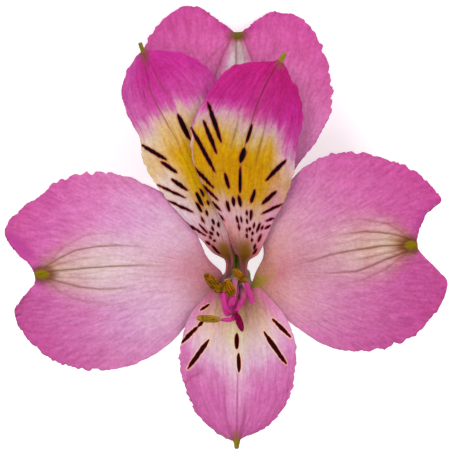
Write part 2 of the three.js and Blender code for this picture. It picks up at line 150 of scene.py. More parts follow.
def softbox(name, spot, width, power):
    light = bpy.data.objects.new(name, bpy.data.lights.new(name, "AREA"))
    bpy.context.scene.collection.objects.link(light)
    light.data.shape = "DISK"
    light.data.size = width * MM
    light.data.energy = power
    aim(light, spot, LIT_SPOT, LAMP_UP)


softbox("key light", (-240, 330, 560), 420, 1.9)
softbox("fill light", (160, -120, 640), 520, 1.5)


# ---------------------------------------------------------------- outer tepals
# The three outer tepals are broad thin blades of soft tissue that narrow to a claw on the ovary's
# rim. Each ends in two rolled lobes with a blunt green gland in the notch between them, and has a
# pale stripe down its middle with darker veins.
TEPAL_THICKNESS = 0.5
RING_GAP = 0.3
STYLE_DIAMETER = 0.8
FILAMENT_DIAMETER = 0.95
OVARY_DROP = 2.4
STAMEN_RING = STYLE_DIAMETER / 2 + RING_GAP + FILAMENT_DIAMETER / 2
INNER_RING = STAMEN_RING + FILAMENT_DIAMETER / 2 + RING_GAP + TEPAL_THICKNESS / 2
OUTER_RING = INNER_RING + TEPAL_THICKNESS + RING_GAP


def on_ring(radius, degrees, z=JOIN_GAP):
    a = math.radians(degrees)
    return np.array([radius * math.cos(a), radius * math.sin(a) - OVARY_DROP, z])


def spline(points, t):
    """A uniform Catmull-Rom curve through the points, at t from 0 to 1."""
    p = np.asarray(points, float)
    p = np.vstack([2 * p[0] - p[1], p, 2 * p[-1] - p[-2]])
    s = np.clip(np.asarray(t, float), 0, 1) * (len(p) - 3)
    i = np.minimum(s.astype(int), len(p) - 4)
    f = (s - i)[..., None]
    a, b, c, d = p[i], p[i + 1], p[i + 2], p[i + 3]
    bend = (2 * a - 5 * b + 4 * c - d) * f**2
    return 0.5 * (2 * b + (c - a) * f + bend + (3 * b - a - 3 * c + d) * f**3)


ROUGHENING = 0.6
FINER_BY = 2.0


def ripple(x, y, seed, octaves=3):
    """Smooth noise from about -1 to 1 for arrays of positions."""
    flat = np.stack(np.broadcast_arrays(x, y), -1).reshape(-1, 2)
    values = [noise.fractal((a, b, seed), ROUGHENING, FINER_BY, octaves) for a, b in flat]
    return np.array(values).reshape(np.broadcast(x, y).shape)


def distance_along(points, line):
    """The distance in the face's plane from each point to a line, and the share of its length there."""
    line = np.asarray(line, float)[:, :2]
    best = np.full(points.shape[:-1], 1e9)
    share = np.zeros(points.shape[:-1])
    lengths = np.linalg.norm(np.diff(line, axis=0), axis=1)
    before = 0.0
    for a, b, length in zip(line, line[1:], lengths):
        along = np.clip(((points[..., :2] - a) @ (b - a)) / length**2, 0, 1)
        away = np.linalg.norm(points[..., :2] - a - along[..., None] * (b - a), axis=-1)
        nearer = away < best
        best = np.where(nearer, away, best)
        share = np.where(nearer, (before + along * length) / lengths.sum(), share)
        before += length
    return best, share


def smooth(low, high, x):
    t = np.clip((x - low) / (high - low), 0, 1)
    return t * t * (3 - 2 * t)


FAR_OUTSIDE = -3.0


def within(points, ellipse):
    """1 in the middle of an ellipse, 0 on its outline and below 0 around it."""
    if ellipse is None:
        return np.full(points.shape[:-1], FAR_OUTSIDE)
    (x, y), (wide, tall), turn = ellipse
    c, s = math.cos(math.radians(turn)), math.sin(math.radians(turn))
    px, py = points[..., 0] - x, points[..., 1] - y
    return 1 - np.hypot((px * c + py * s) / wide, (py * c - px * s) / tall)


ACROSS = 160
ALONG = 240
FULL_REACH = 50.0
TOOTH_FINENESS = 0.7
TOOTHED_RIM = 11
RUFFLED_RIM = 3
WRINKLE_HEIGHT = 0.16
STREAK_HEIGHT = 0.06
STREAK_FINENESS = 0.9
VEIN_DEPTH = 0.09
GLAND_HEIGHT = 0.3
FLECK_RAGGEDNESS = 0.025
FLECK_POINTEDNESS = 0.95
FAN_STREAKS = 30
FLOOR_GAP = 0.02


def blade(name, ring, angles, stations, shape, veins=(), flecks=(), gland=None, pit_and_fold_shade=None):
    """One tepal: a grid bent through its stations, with veins, ruffles, wrinkles and a toothed edge.

    The stations give its left margin, midrib and right margin, as on the CAD model. Its flecks,
    veins, gland and pit are kept as numbers on its vertices, which its material reads. On a broad
    tepal the pit is a darker patch of painted shade at the fold by its notch.
    """
    u = np.linspace(-1, 1, ACROSS + 1)[None, :]
    v = np.linspace(0, 1, ALONG + 1)[:, None]
    foot = JOIN_GAP + TEPAL_THICKNESS / 2
    rails = []
    for side in range(3):
        through = [on_ring(ring, angles[side], foot), *[row[side] for row in stations]]
        rails.append(spline(through, v[:, 0])[:, None, :])
    left, rib, right = rails
    w = u[..., None]
    points = left * (w * w - w) / 2 + rib * (1 - w * w) + right * (w * w + w) / 2

    # The edge is finely and unevenly toothed towards the tip, evenly along its own length.
    seed = shape["seed"]
    half = np.linalg.norm(right - left, axis=-1) / 2
    outwards = unit(right - left)
    teeth = []
    for side, margin in enumerate([left[:, 0], right[:, 0]]):
        run = np.append(0, np.linalg.norm(np.diff(margin, axis=0), axis=1).cumsum())
        teeth.append(ripple(run * TOOTH_FINENESS, side * 7.3, seed, 4) * smooth(0.3, 0.55, run / run[-1]))
    teeth = np.where(u < 0, teeth[0][:, None], teeth[1][:, None])
    toothed = 1 - smooth(shape["toothed_to"] - 0.03, shape["toothed_to"] + 0.03, v)
    torn = shape["torn"] * toothed * np.abs(u) ** TOOTHED_RIM * np.sign(u)
    points = points + outwards * (torn * teeth)[..., None]

    # Fine streaks fan out from the claw on a broad tepal, and follow a narrow one lengthways.
    away_from_axis = np.hypot(points[..., 0], points[..., 1])
    heading = unit(rib[-1, 0, :2])
    sideways = heading[0] * points[..., 1] - heading[1] * points[..., 0]
    swing = np.arctan2(sideways, points[..., :2] @ heading)
    streak = swing * FAN_STREAKS if shape["fan"] else u * half.max() * np.ones_like(v)

    # Ruffles grow towards the edge; veins and wrinkles run lengthways.
    du = np.gradient(points, axis=1)
    dv = np.gradient(points, axis=0)
    normal = unit(np.cross(du, dv))
    fade = smooth(0.05, 0.3, v) * (1 - 0.6 * smooth(0.93, 1, v))
    lift = shape["ruffle"] * np.abs(u) ** RUFFLED_RIM * fade * ripple(v * 5.0, u * 1.1, seed + 11, 2)
    wrinkles = ripple(u * 9.0 * (half / 12 + 0.3), v * 3.2, seed + 5, 3)
    lift += WRINKLE_HEIGHT * smooth(0.02, 0.15, v) * fade * wrinkles
    lift += STREAK_HEIGHT * fade * ripple(streak * STREAK_FINENESS, away_from_axis * 0.16, seed + 7, 3)
    vein = np.zeros(points.shape[:-1])
    for line, width, strength in veins:
        away, share = distance_along(points, line)
        groove = np.exp(-((away / width) ** 2))
        vein = np.maximum(vein, strength * groove * (1 - smooth(0.45, 1, share)))
    lift -= VEIN_DEPTH * vein * smooth(0.0, 0.1, v)

    # Flecks: how far inside the nearest fleck's outline a point lies, in millimetres.
    spot = np.full(points.shape[:-1], -1.0)
    for a, b, width in flecks:
        away, share = distance_along(points, [a, b])
        pointed = np.sqrt(np.clip(1 - (2 * share - 1) ** 2 * FLECK_POINTEDNESS, 0, 1))
        spot = np.maximum(spot, width / 2 * pointed - away)
    spot = spot + FLECK_RAGGEDNESS * ripple(points[..., 0] * 1.6, points[..., 1] * 1.6, seed + 3, 2)

    # The gland or thickened tip, and the olive nectar pit or, on a broad tepal, a darker patch of painted
    # shade at its fold.
    green, pit_and_fold_shade_mask = [within(points, ellipse) for ellipse in (gland, pit_and_fold_shade)]
    if shape["fan"]:
        lift += GLAND_HEIGHT * smooth(-0.1, 0.7, green)
    points = points + normal * lift[..., None]

    grid = bmesh.new()
    bmesh.ops.create_grid(grid, x_segments=ACROSS, y_segments=ALONG, size=1)
    uv = grid.loops.layers.uv.new("UVMap")
    fields = {
        "fleck": spot,
        "vein": vein,
        "gland": green,
        "pit_and_fold_shade": pit_and_fold_shade_mask,
        "reach": away_from_axis / FULL_REACH,
        "across": (u + 1) / 2 * np.ones_like(v),
        "streak": streak,
    }
    layers = {key: grid.verts.layers.float.new(key) for key in fields}
    columns = {}
    places = as_laid(points)
    # Nothing sinks into the paper: half the blade's thickness stays above it.
    resting = (shape["thickness"] / 2 + FLOOR_GAP) * MM
    places[..., 2] = np.maximum(places[..., 2], resting)
    for vert in grid.verts:
        i = round((vert.co.x + 1) / 2 * ACROSS)
        j = round((vert.co.y + 1) / 2 * ALONG)
        columns[vert] = (i, j)
        for key, layer in layers.items():
            vert[layer] = fields[key][j, i]
    for face in grid.faces:
        face.smooth = True
        for loop in face.loops:
            i, j = columns[loop.vert]
            loop[uv].uv = (i / ACROSS, j / ALONG)
    for vert, (i, j) in columns.items():
        vert.co = places[j, i]
    piece = bpy.data.objects.new(name, bpy.data.meshes.new(name))
    grid.to_mesh(piece.data)
    grid.free()
    bpy.context.scene.collection.objects.link(piece)
    wall = piece.modifiers.new("thickness", "SOLIDIFY")
    wall.thickness = shape["thickness"] * MM
    wall.offset = 0
    wall.material_offset = 1
    wall.material_offset_rim = 0
    return piece


class Finish:
    """A small help to wire up a material's nodes."""

    def __init__(self, name):
        self.material = bpy.data.materials.new(name)
        self.material.use_nodes = True
        self.nodes = self.material.node_tree.nodes
        self.links = self.material.node_tree.links
        self.shader = self.nodes["Principled BSDF"]

    def put(self, value, socket):
        if hasattr(value, "is_output"):
            self.links.new(value, socket)
        elif isinstance(value, str):
            socket.default_value = colour(value)
        else:
            socket.default_value = value

    def math(self, operation, a, b=0.0):
        node = self.nodes.new("ShaderNodeMath")
        node.operation = operation
        self.put(a, node.inputs[0])
        self.put(b, node.inputs[1])
        return node.outputs[0]

    def ramp(self, value, stops, steps="EASE"):
        node = self.nodes.new("ShaderNodeValToRGB")
        self.put(value, node.inputs[0])
        node.color_ramp.interpolation = steps
        elements = node.color_ramp.elements
        while len(elements) > 1:
            elements.remove(elements[0])
        elements[0].position = stops[0][0]
        elements[0].color = colour(stops[0][1])
        for place, tint in stops[1:]:
            elements.new(place).color = colour(tint)
        return node.outputs["Color"]

    def mix(self, share, a, b, blend="MIX"):
        node = self.nodes.new("ShaderNodeMix")
        node.data_type = "RGBA"
        node.blend_type = blend
        self.put(share, node.inputs[0])
        self.put(a, node.inputs[6])
        self.put(b, node.inputs[7])
        return node.outputs[2]

    def attribute(self, name):
        node = self.nodes.new("ShaderNodeAttribute")
        node.attribute_name = name
        return node.outputs["Fac"]

    def noise(self, where, scale, detail=3.0, roughness=0.55, stretch=(1, 1, 1)):
        mapping = self.nodes.new("ShaderNodeMapping")
        mapping.inputs["Scale"].default_value = stretch
        self.links.new(where, mapping.inputs["Vector"])
        node = self.nodes.new("ShaderNodeTexNoise")
        self.links.new(mapping.outputs[0], node.inputs["Vector"])
        node.inputs["Scale"].default_value = scale
        node.inputs["Detail"].default_value = detail
        node.inputs["Roughness"].default_value = roughness
        return node.outputs["Fac"]

    def pair(self, a, b):
        node = self.nodes.new("ShaderNodeCombineXYZ")
        self.put(a, node.inputs[0])
        self.put(b, node.inputs[1])
        return node.outputs[0]

    def place(self, kind):
        return self.nodes.new("ShaderNodeTexCoord").outputs[kind]

    def bump(self, height, strength, distance):
        node = self.nodes.new("ShaderNodeBump")
        node.inputs["Strength"].default_value = strength
        node.inputs["Distance"].default_value = distance * MM
        self.put(height, node.inputs["Height"])
        self.links.new(node.outputs[0], self.shader.inputs["Normal"])


LAMP_SHARE = 0.78


def colour(text):
    """A colour such as d05ca8, as it looks under these lamps, or a grey level from 0 to 1."""
    if not isinstance(text, str):
        return (text, text, text, 1)
    parts = [int(text[i : i + 2], 16) / 255 for i in (0, 2, 4)]
    linear = [c / 12.92 if c <= 0.04045 else ((c + 0.055) / 1.055) ** 2.4 for c in parts]
    return (*[c * LAMP_SHARE for c in linear], 1)


CLOUDS, BLOTCHES, GRAINS = 170, 420, 1700
COLOUR_DRIFT = 0.07
COLOUR_FEATHERING = 0.11
FEATHER_STRETCH = (0.9, 5, 1)
STREAK_STRETCH = (1.7, 15, 1)
TEPAL_ROUGHNESS = 0.62
TEPAL_SHINE = 0.04
TEPAL_SOFTNESS = 0.05
LIGHT_SPREAD = 0.5
DARK_FLECKS = ("0a0205", "7a1018", "a04030")
OLIVE_GLAND_AND_SHADE = ("867008", "6c3420")
NECTAR_PIT = "94690a"


def tepal_finish(name, rib, field, edge, stripe, rims, vein_tint, tilt=0.0, flecks=DARK_FLECKS,
                 gland=OLIVE_GLAND_AND_SHADE, pit_and_fold_shade=NECTAR_PIT):
    """Tepal tissue: three runs of colour outwards, for the midrib, the blade and the edge.

    A stop's place is its distance from the bloom's axis in millimetres. `stripe` gives how far across,
    from the midrib to a margin, the midrib's colours hold and where they end. `rims` gives the shares
    of the whole width between which the edge's colours fade out on the left and back in on the right.
    `tilt` moves the runs inwards on the right margin and outwards on the left one, in millimetres.
    `flecks` gives the tints of a fleck's core, rim and bleed; `gland` those of the gland and of the
    brown-red ring around it, which is partly the tissue's own brown and partly painted shade.
    """
    f = Finish(name)
    across = f.attribute("across")
    fan = f.pair(f.attribute("streak"), f.attribute("reach"))
    cloud = f.noise(f.place("Object"), CLOUDS, 3)
    feather = f.noise(fan, 1.0, 3, 0.6, FEATHER_STRETCH)
    drift = f.math("MULTIPLY", f.math("SUBTRACT", cloud, 0.5), COLOUR_DRIFT)
    feathered = f.math("MULTIPLY", f.math("SUBTRACT", feather, 0.5), COLOUR_FEATHERING)
    along = f.math("ADD", f.math("ADD", f.attribute("reach"), drift), feathered)
    slope = 2 * tilt / FULL_REACH
    along = f.math("ADD", along, f.math("MULTIPLY", f.math("SUBTRACT", across, 0.5), slope))
    wander = f.math("ADD", f.math("MULTIPLY", drift, 1.5), f.math("MULTIPLY", feathered, 0.5))
    off_middle = f.math("ABSOLUTE", f.math("SUBTRACT", f.math("MULTIPLY", across, 2.0), 1.0))
    side = f.math("ADD", off_middle, wander)
    middle, blade_tint, rim = [
        f.ramp(along, [(away / FULL_REACH, tint) for away, tint in run], "LINEAR")
        for run in (rib, field, edge)
    ]
    tint = f.mix(f.ramp(side, [(stripe[0], 0.0), (stripe[1], 1.0)]), middle, blade_tint)
    shares = [(rims[0], 1.0), (rims[1], 0.0), (rims[2], 0.0), (rims[3], 1.0)]
    edgewards = f.math("ADD", across, f.math("MULTIPLY", wander, 0.5))
    tint = f.mix(f.ramp(edgewards, shares), tint, rim)
    # Fine streaks, where the tissue is thicker between its smallest veins, and a grainy sparkle.
    streaks = f.noise(fan, 1.0, 4, 0.7, STREAK_STRETCH)
    grain = f.noise(f.place("Object"), GRAINS, 3, 0.7)
    blotch = f.noise(f.place("Object"), BLOTCHES, 4, 0.6)
    calm = f.ramp(f.attribute("reach"), [(0.14, 0.25), (0.4, 1.0)])
    streak_share = f.math("MULTIPLY", calm, 0.9)
    for share, pattern, dark, light in (
        (streak_share, streaks, 0.33, 0.64),
        (0.6, grain, 0.32, 0.66),
        (0.5, blotch, 0.4, 0.6),
    ):
        tint = f.mix(share, tint, f.ramp(pattern, [(0.3, dark), (0.7, light)], "LINEAR"), "SOFT_LIGHT")
    # A narrow tepal's olive nectar pit; on a broad tepal, a darker magenta patch of painted shade at the fold
    # by the notch.
    tint = f.mix(f.ramp(f.attribute("pit_and_fold_shade"), [(0.0, 0.0), (0.7, 0.92)]), tint, pit_and_fold_shade)
    tint = f.mix(f.math("MULTIPLY", f.attribute("vein"), 0.95), tint, vein_tint)
    # A fleck has a near-black core, a narrow dark red rim and a faint bleed into the tissue.
    core, fleck_rim, halo = flecks
    shifted = f.math("ADD", f.attribute("fleck"), 0.5)
    tint = f.mix(f.ramp(shifted, [(0.15, 0.0), (0.42, 0.45)]), tint, halo)
    tint = f.mix(f.ramp(shifted, [(0.42, 0.0), (0.49, 1.0)]), tint, fleck_rim)
    tint = f.mix(f.ramp(shifted, [(0.53, 0.0), (0.6, 1.0)]), tint, core)
    # Round the gland goes a brown-red ring, partly the tissue's own brown and partly painted shade about the
    # gland, then the gland's own olive.
    green, shade = gland
    around = f.math("DIVIDE", f.math("ADD", f.attribute("gland"), 2.0), 3.0)
    tint = f.mix(f.ramp(around, [(0.1, 0.0), (0.6, 0.75)]), tint, shade)
    tint = f.mix(f.ramp(around, [(0.6, 0.0), (0.75, 0.95)]), tint, green)
    f.links.new(tint, f.shader.inputs["Base Color"])
    f.shader.inputs["Roughness"].default_value = TEPAL_ROUGHNESS
    f.shader.inputs["Specular IOR Level"].default_value = TEPAL_SHINE
    f.shader.inputs["Subsurface Weight"].default_value = TEPAL_SOFTNESS
    f.shader.inputs["Subsurface Scale"].default_value = LIGHT_SPREAD * MM
    height = f.math("ADD", f.math("MULTIPLY", streaks, calm), f.math("MULTIPLY", grain, 0.5))
    f.bump(f.math("ADD", height, f.math("MULTIPLY", blotch, 0.4)), 0.45, 0.22)
    return f.material


SIDE_RIMS = (0.0, 0.16, 0.84, 1.0)
# On these broad tepals the pit colour is a darker magenta of painted shade at the fold by the notch.
outer_fronts = {
    "left": tepal_finish(
        "left tepal front",
        rib=[(3, "c47c80"), (6, "e496a4"), (10, "e6a4ba"), (14, "e0aec0"), (18, "e2bcca"), (24, "e0c4c6"),
             (28, "d8b2b2"), (30.5, "d0a8a2"), (33, "bc8c78"), (36, "8c7a30")],
        field=[(3, "c87c80"), (6, "e49ca8"), (12, "e8b8d0"), (17, "e2b0d0"), (22, "da98c6"), (28, "d67cb4"),
               (36, "cc60a4"), (42, "c85898")],
        edge=[(4, "cc7c90"), (12, "e4a4c8"), (20, "de90c2"), (28, "d678b0"), (36, "cc5ca0"),
              (42, "c45094")],
        stripe=(0.0, 0.52), rims=SIDE_RIMS, vein_tint="84603c", pit_and_fold_shade="bc4494",
    ),
    "right": tepal_finish(
        "right tepal front",
        rib=[(3.6, "a8a034"), (5.2, "c4a83c"), (6.4, "d09870"), (7.8, "d88892"), (12, "d290a4"),
             (17, "d49cac"), (22, "d6aeaa"), (24, "d0a49a"), (27, "d6b6a6"), (29.5, "b88c6c"),
             (30.5, "a87c48"), (32.5, "8c7420")],
        field=[(3.6, "a89c3c"), (4.5, "c8a050"), (5.3, "d09078"), (7.5, "e09c9c"), (11, "dca0ac"),
               (16, "d892b4"), (21, "d27aac"), (26, "cf68a4"), (33, "c9579b"), (38, "cb5499")],
        edge=[(4, "c08078"), (11, "dc98b0"), (18, "d47cb0"), (28, "ca5c9e"), (38, "c84c94")],
        stripe=(0.0, 0.5), rims=SIDE_RIMS, vein_tint="7c4028", pit_and_fold_shade="b83c90",
    ),
    "top": tepal_finish(
        "top tepal front",
        rib=[(2.5, "54481c"), (5, "6c5c30"), (15, "b08c80"), (28, "d6bcc2"), (37, "dec8ce"), (40, "c8a8b0"),
             (42, "a08460"), (43.5, "7c6c20")],
        field=[(2.5, "7a7c34"), (8, "a88464"), (15, "cc88ac"), (28, "d77bb1"), (36, "d26ca6"),
               (42, "cf5c9e"), (48, "cc5098")],
        edge=[(2.5, "7a7c34"), (8, "a88464"), (15, "cc88ac"), (28, "d67cb2"), (38, "d060a0"),
              (48, "c84c96")],
        stripe=(0.08, 0.24), rims=SIDE_RIMS, vein_tint="84504c", gland=("6c5c14", "84403c"), pit_and_fold_shade="b83488",
    ),
}
# On the backs the pit colour covers the nectar pit of a narrow tepal and the painted shade at the fold of a
# broad one.
outer_back = tepal_finish(
    "tepal back",
    rib=[(5, "7d9140"), (15, "a8a468"), (30, "c8a898"), (42, "8c9a3c")],
    field=[(5, "8c9450"), (12, "c898a8"), (28, "d48cbc"), (42, "cc70ae")],
    edge=[(5, "98905c"), (16, "d088b4"), (42, "c65aa2")],
    stripe=(0.04, 0.2), rims=SIDE_RIMS, vein_tint="8a7a50",
    flecks=("8c5058", "986470", "b88c98"), pit_and_fold_shade="949448",
)

OUTER_TOP = [
    [[-1.9, 3.1, 2.5], [0.1, 4.1, 2.1], [2.1, 3.0, 2.5]],
    [[-3.2, 5.8, 5.4], [0.1, 7.2, 4.8], [3.3, 5.8, 5.4]],
    [[-6.6, 11.5, 8.2], [0.2, 12.6, 7.8], [6.6, 11.5, 8.2]],
    [[-10.0, 17.2, 9.2], [0.3, 16.8, 9.2], [10.2, 18.0, 9.2]],
    [[-13.4, 23.0, 9.6], [0.3, 20.8, 9.9], [14.0, 23.0, 9.6]],
    [[-16.2, 28.5, 9.2], [0.3, 24.6, 10.3], [16.9, 28.3, 9.2]],
    [[-17.3, 34.5, 8.0], [0.3, 28.8, 10.2], [17.4, 33.2, 8.2]],
    [[-16.9, 39.8, 6.6], [0.3, 32.6, 9.8], [16.2, 38.8, 6.8]],
    [[-14.4, 44.4, 4.9], [0.3, 36.0, 9.2], [14.3, 43.4, 5.2]],
    [[-10.6, 47.7, 3.4], [0.3, 38.6, 8.6], [10.6, 46.8, 3.6]],
    [[-7.2, 48.3, 3.4], [0.3, 40.6, 8.0], [6.8, 47.4, 3.6]],
    [[-4.0, 46.3, 4.9], [0.3, 42.0, 7.5], [3.8, 45.6, 5.0]],
    [[-2.0, 44.2, 5.9], [0.3, 42.9, 7.0], [2.3, 44.0, 5.9]],
    [[-0.4, 43.3, 6.4], [0.3, 43.3, 6.6], [1.0, 43.3, 6.4]],
]
OUTER_LEFT = [
    [[-2.0, -5.0, 3.2], [-3.8, -2.4, 3.2], [-2.5, -0.3, 3.5]],
    [[-4.0, -5.8, 5.4], [-6.2, -1.2, 6.4], [-5.2, 2.5, 6.6]],
    [[-6.6, -7.2, 7.2], [-9.0, 0.3, 9.0], [-6.5, 5.4, 8.6]],
    [[-9.0, -9.6, 8.6], [-11.8, 1.0, 11.2], [-8.3, 9.0, 10.0]],
    [[-12.4, -13.1, 9.8], [-14.8, 1.4, 12.8], [-11.3, 12.7, 11.0]],
    [[-16.8, -15.9, 10.7], [-18.0, 1.3, 14.0], [-15.6, 15.5, 11.8]],
    [[-21.8, -17.4, 11.2], [-21.2, 1.1, 14.8], [-20.6, 17.4, 12.4]],
    [[-27.2, -17.4, 11.4], [-24.4, 0.9, 15.2], [-26.2, 17.7, 12.6]],
    [[-32.2, -16.2, 11.0], [-27.4, 0.7, 15.3], [-31.4, 16.5, 12.3]],
    [[-36.4, -13.2, 10.4], [-30.0, 0.5, 15.1], [-36.0, 13.4, 11.8]],
    [[-39.2, -10.0, 10.2], [-32.0, 0.2, 14.7], [-40.0, 10.2, 11.2]],
    [[-39.8, -6.8, 10.8], [-33.6, 0.0, 14.3], [-41.6, 6.8, 11.4]],
    [[-38.0, -4.3, 12.0], [-34.6, -0.1, 13.9], [-39.6, 3.7, 12.3]],
    [[-36.2, -2.5, 12.8], [-35.3, -0.3, 13.6], [-37.6, 2.0, 12.9]],
    [[-35.8, -1.0, 13.2], [-36.1, -0.5, 13.4], [-36.0, 0.0, 13.2]],
]
OUTER_RIGHT = [
    [[3.7, 0.0, 3.6], [4.2, -2.5, 3.2], [2.1, -5.0, 3.2]],
    [[5.0, 2.8, 6.7], [6.4, -1.1, 6.5], [4.2, -5.6, 5.4]],
    [[5.0, 6.2, 8.8], [9.0, 0.4, 9.2], [6.4, -6.8, 7.0]],
    [[6.4, 10.4, 10.4], [11.8, 1.6, 11.2], [8.9, -8.3, 8.4]],
    [[8.6, 14.8, 11.6], [14.6, 2.5, 13.0], [12.2, -10.6, 9.6]],
    [[12.2, 18.8, 12.6], [17.6, 3.3, 14.4], [16.4, -13.2, 10.7]],
    [[17.4, 21.2, 13.2], [20.6, 4.0, 15.3], [21.0, -14.1, 11.4]],
    [[22.8, 21.3, 13.4], [23.3, 4.5, 15.7], [25.8, -13.7, 11.5]],
    [[28.2, 19.9, 13.0], [25.7, 4.8, 15.8], [30.4, -12.0, 11.2]],
    [[32.8, 17.6, 12.6], [27.6, 4.9, 15.6], [34.4, -9.0, 10.9]],
    [[36.2, 14.2, 12.3], [29.2, 5.0, 15.3], [37.1, -5.2, 10.8]],
    [[36.7, 12.6, 12.4], [30.4, 4.9, 15.0], [38.0, -1.9, 11.3]],
    [[34.5, 11.6, 13.1], [31.3, 4.9, 14.6], [36.9, -0.4, 12.1]],
    [[33.1, 8.8, 13.7], [31.9, 4.8, 14.3], [34.6, 2.0, 13.1]],
    [[32.1, 5.6, 14.0], [32.4, 4.7, 14.0], [32.2, 4.1, 14.0]],
]

VEIN_WIDTH = 0.2
TOP_VEINS = [
    ([(0.1, 42.6), (0, 36), (0, 12)], VEIN_WIDTH, 0.75),
    ([(-0.8, 42.5), (-2.6, 38.8), (-3.9, 35.0), (-5.5, 22)], VEIN_WIDTH, 0.8),
    ([(1.3, 42.5), (2.8, 38.7), (3.8, 34), (5.2, 22)], VEIN_WIDTH, 0.7),
    ([(-1.5, 42.0), (-5.0, 38.4), (-7.6, 32), (-9, 26)], VEIN_WIDTH, 0.4),
    ([(0.9, 42.4), (1.6, 38.5), (1.8, 30)], VEIN_WIDTH, 0.4),
]
LEFT_VEINS = [
    ([(-35.2, -0.4), (-33, 0.2), (-30, 0.5), (-26.5, 0.8), (-22, 1.1), (-17.5, 1.3), (-11.5, 1.0),
      (-8.5, 0.4)], VEIN_WIDTH, 1.0),
    ([(-34.2, 1.0), (-31, 2.9), (-28.6, 4), (-25, 4.6), (-21.4, 4.9), (-17.5, 4.6), (-13, 3.8)],
     VEIN_WIDTH, 0.95),
    ([(-33.6, 1.6), (-31, 4.6), (-27, 6.6), (-22, 7.2), (-17, 6.6)], VEIN_WIDTH, 0.35),
    ([(-34.0, 0.8), (-31, 1.8), (-27, 2.6), (-22, 3.0), (-17, 2.9)], VEIN_WIDTH, 0.35),
    ([(-34.2, -0.9), (-32.8, -1.3), (-28, -2.6), (-24.4, -3), (-20.5, -2.8), (-16.9, -1.8), (-14.5, -1.5)],
     VEIN_WIDTH, 0.9),
    ([(-33.8, -1.4), (-31.4, -3.7), (-26.6, -5.4), (-22, -5.6), (-18, -5.0)], VEIN_WIDTH, 0.35),
    ([(-34, -0.6), (-30, -1.0), (-25, -1.2), (-20, -1.0)], VEIN_WIDTH, 0.3),
]
RIGHT_VEINS = [
    ([(31, 4.9), (28.8, 4.9), (25.9, 4.8), (22.9, 4.3), (20, 3.8), (17.1, 3.2), (14.1, 2.3), (8.3, 0.5)],
     VEIN_WIDTH, 1.0),
    ([(31, 6.0), (28.8, 6.7), (25.9, 7.2), (22.9, 7.3), (20, 7), (15.6, 6.1)], VEIN_WIDTH, 0.9),
    ([(30.4, 6.6), (27, 8.8), (22, 9.6), (16.5, 8.8)], VEIN_WIDTH, 0.4),
    ([(30.8, 5.4), (27, 5.9), (22, 5.8), (17, 5.0)], VEIN_WIDTH, 0.35),
    ([(30.8, 3.9), (27.3, 2.6), (24.4, 1.3), (21.5, 0.2), (18.5, 0), (12, -0.6)], VEIN_WIDTH, 0.9),
    ([(30.8, 4.4), (27.5, 3.6), (24, 2.8), (18, 1.8)], VEIN_WIDTH, 0.5),
    ([(30.4, 3.4), (26.6, 0.6), (22, -1.6), (16, -2.2)], VEIN_WIDTH, 0.45),
]
BROAD_BLADE = {"torn": 0.5, "ruffle": 1.0, "thickness": 0.42, "fan": True}
# A fold ellipse marks where a darker patch of painted shade lies, by the notch where the lobes roll.
OUTER_TEPALS = {
    "top": {
        "angles": [110, 90, 70], "stations": OUTER_TOP, "veins": TOP_VEINS,
        "gland": ((0.3, 42.8), (1.05, 0.55), 0), "fold_shade": ((0.3, 44.4), (5.5, 1.5), 0),
        "toothed_to": 0.94, "seed": 3.0,
    },
    "left": {
        "angles": [248, 212, 176], "stations": OUTER_LEFT, "veins": LEFT_VEINS,
        "gland": ((-34.8, -0.35), (1.4, 0.8), 0), "fold_shade": ((-39.0, 4.6), (5.0, 2.2), -40),
        "toothed_to": 0.86, "seed": 21.0,
    },
    "right": {
        "angles": [-2, -32, -68], "stations": OUTER_RIGHT, "veins": RIGHT_VEINS,
        "gland": ((31.3, 4.85), (1.2, 0.8), 0), "fold_shade": ((34.4, 9.6), (5.0, 2.2), 62),
        "toothed_to": 0.76, "seed": 37.0,
    },
}
for side, tepal in OUTER_TEPALS.items():
    shape = {**BROAD_BLADE, "seed": tepal["seed"], "toothed_to": tepal["toothed_to"]}
    piece = blade(f"petal_outer_{side}", OUTER_RING, tepal["angles"], tepal["stations"], shape,
                  tepal["veins"], gland=tepal["gland"], pit_and_fold_shade=tepal["fold_shade"])
    piece.data.materials.append(outer_fronts[side])
    piece.data.materials.append(outer_back)
    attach(piece, "root")
    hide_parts(f"outer_tepal_{side}")


# ---------------------------------------------------------------- lowest inner tepal
# The lowest inner tepal is a narrower, flatter, pointed blade that stands in front of the two side
# ones. It is creamy in the middle with a tan foot, and has a few long dark red flecks.
lower_front = tepal_finish(
    "lower tepal front",
    rib=[(3, "7c5830"), (5, "c4a060"), (8, "e4c898"), (11, "eadcb4"), (14, "e4cac0"), (17, "debecc"),
         (19.5, "dea6c4"), (22, "de98c4"), (24.5, "d884ba"), (27, "d472ae"), (29, "d066a8"),
         (30.5, "98902c")],
    field=[(3, "946844"), (5, "d09c80"), (9, "e0b49c"), (11, "e2bcb0"), (13, "e2c4c4"), (16, "dcaec8"),
           (18.5, "d486b8"), (22, "d26cac"), (27, "d46eac"), (31, "cc5ca4")],
    edge=[(3, "c0607c"), (6, "d87c9c"), (9, "dc84b0"), (12, "e098c0"), (15, "da94c0"), (18, "d478b0"),
          (23, "d068a8"), (29, "cc5ca0"), (31, "98902c")],
    stripe=(0.0, 0.4), rims=(0.02, 0.2, 0.8, 0.98), vein_tint="b04c84",
    flecks=("200004", "a81810", "f4e4a0"), gland=("8c7c18", "a05c50"),
)
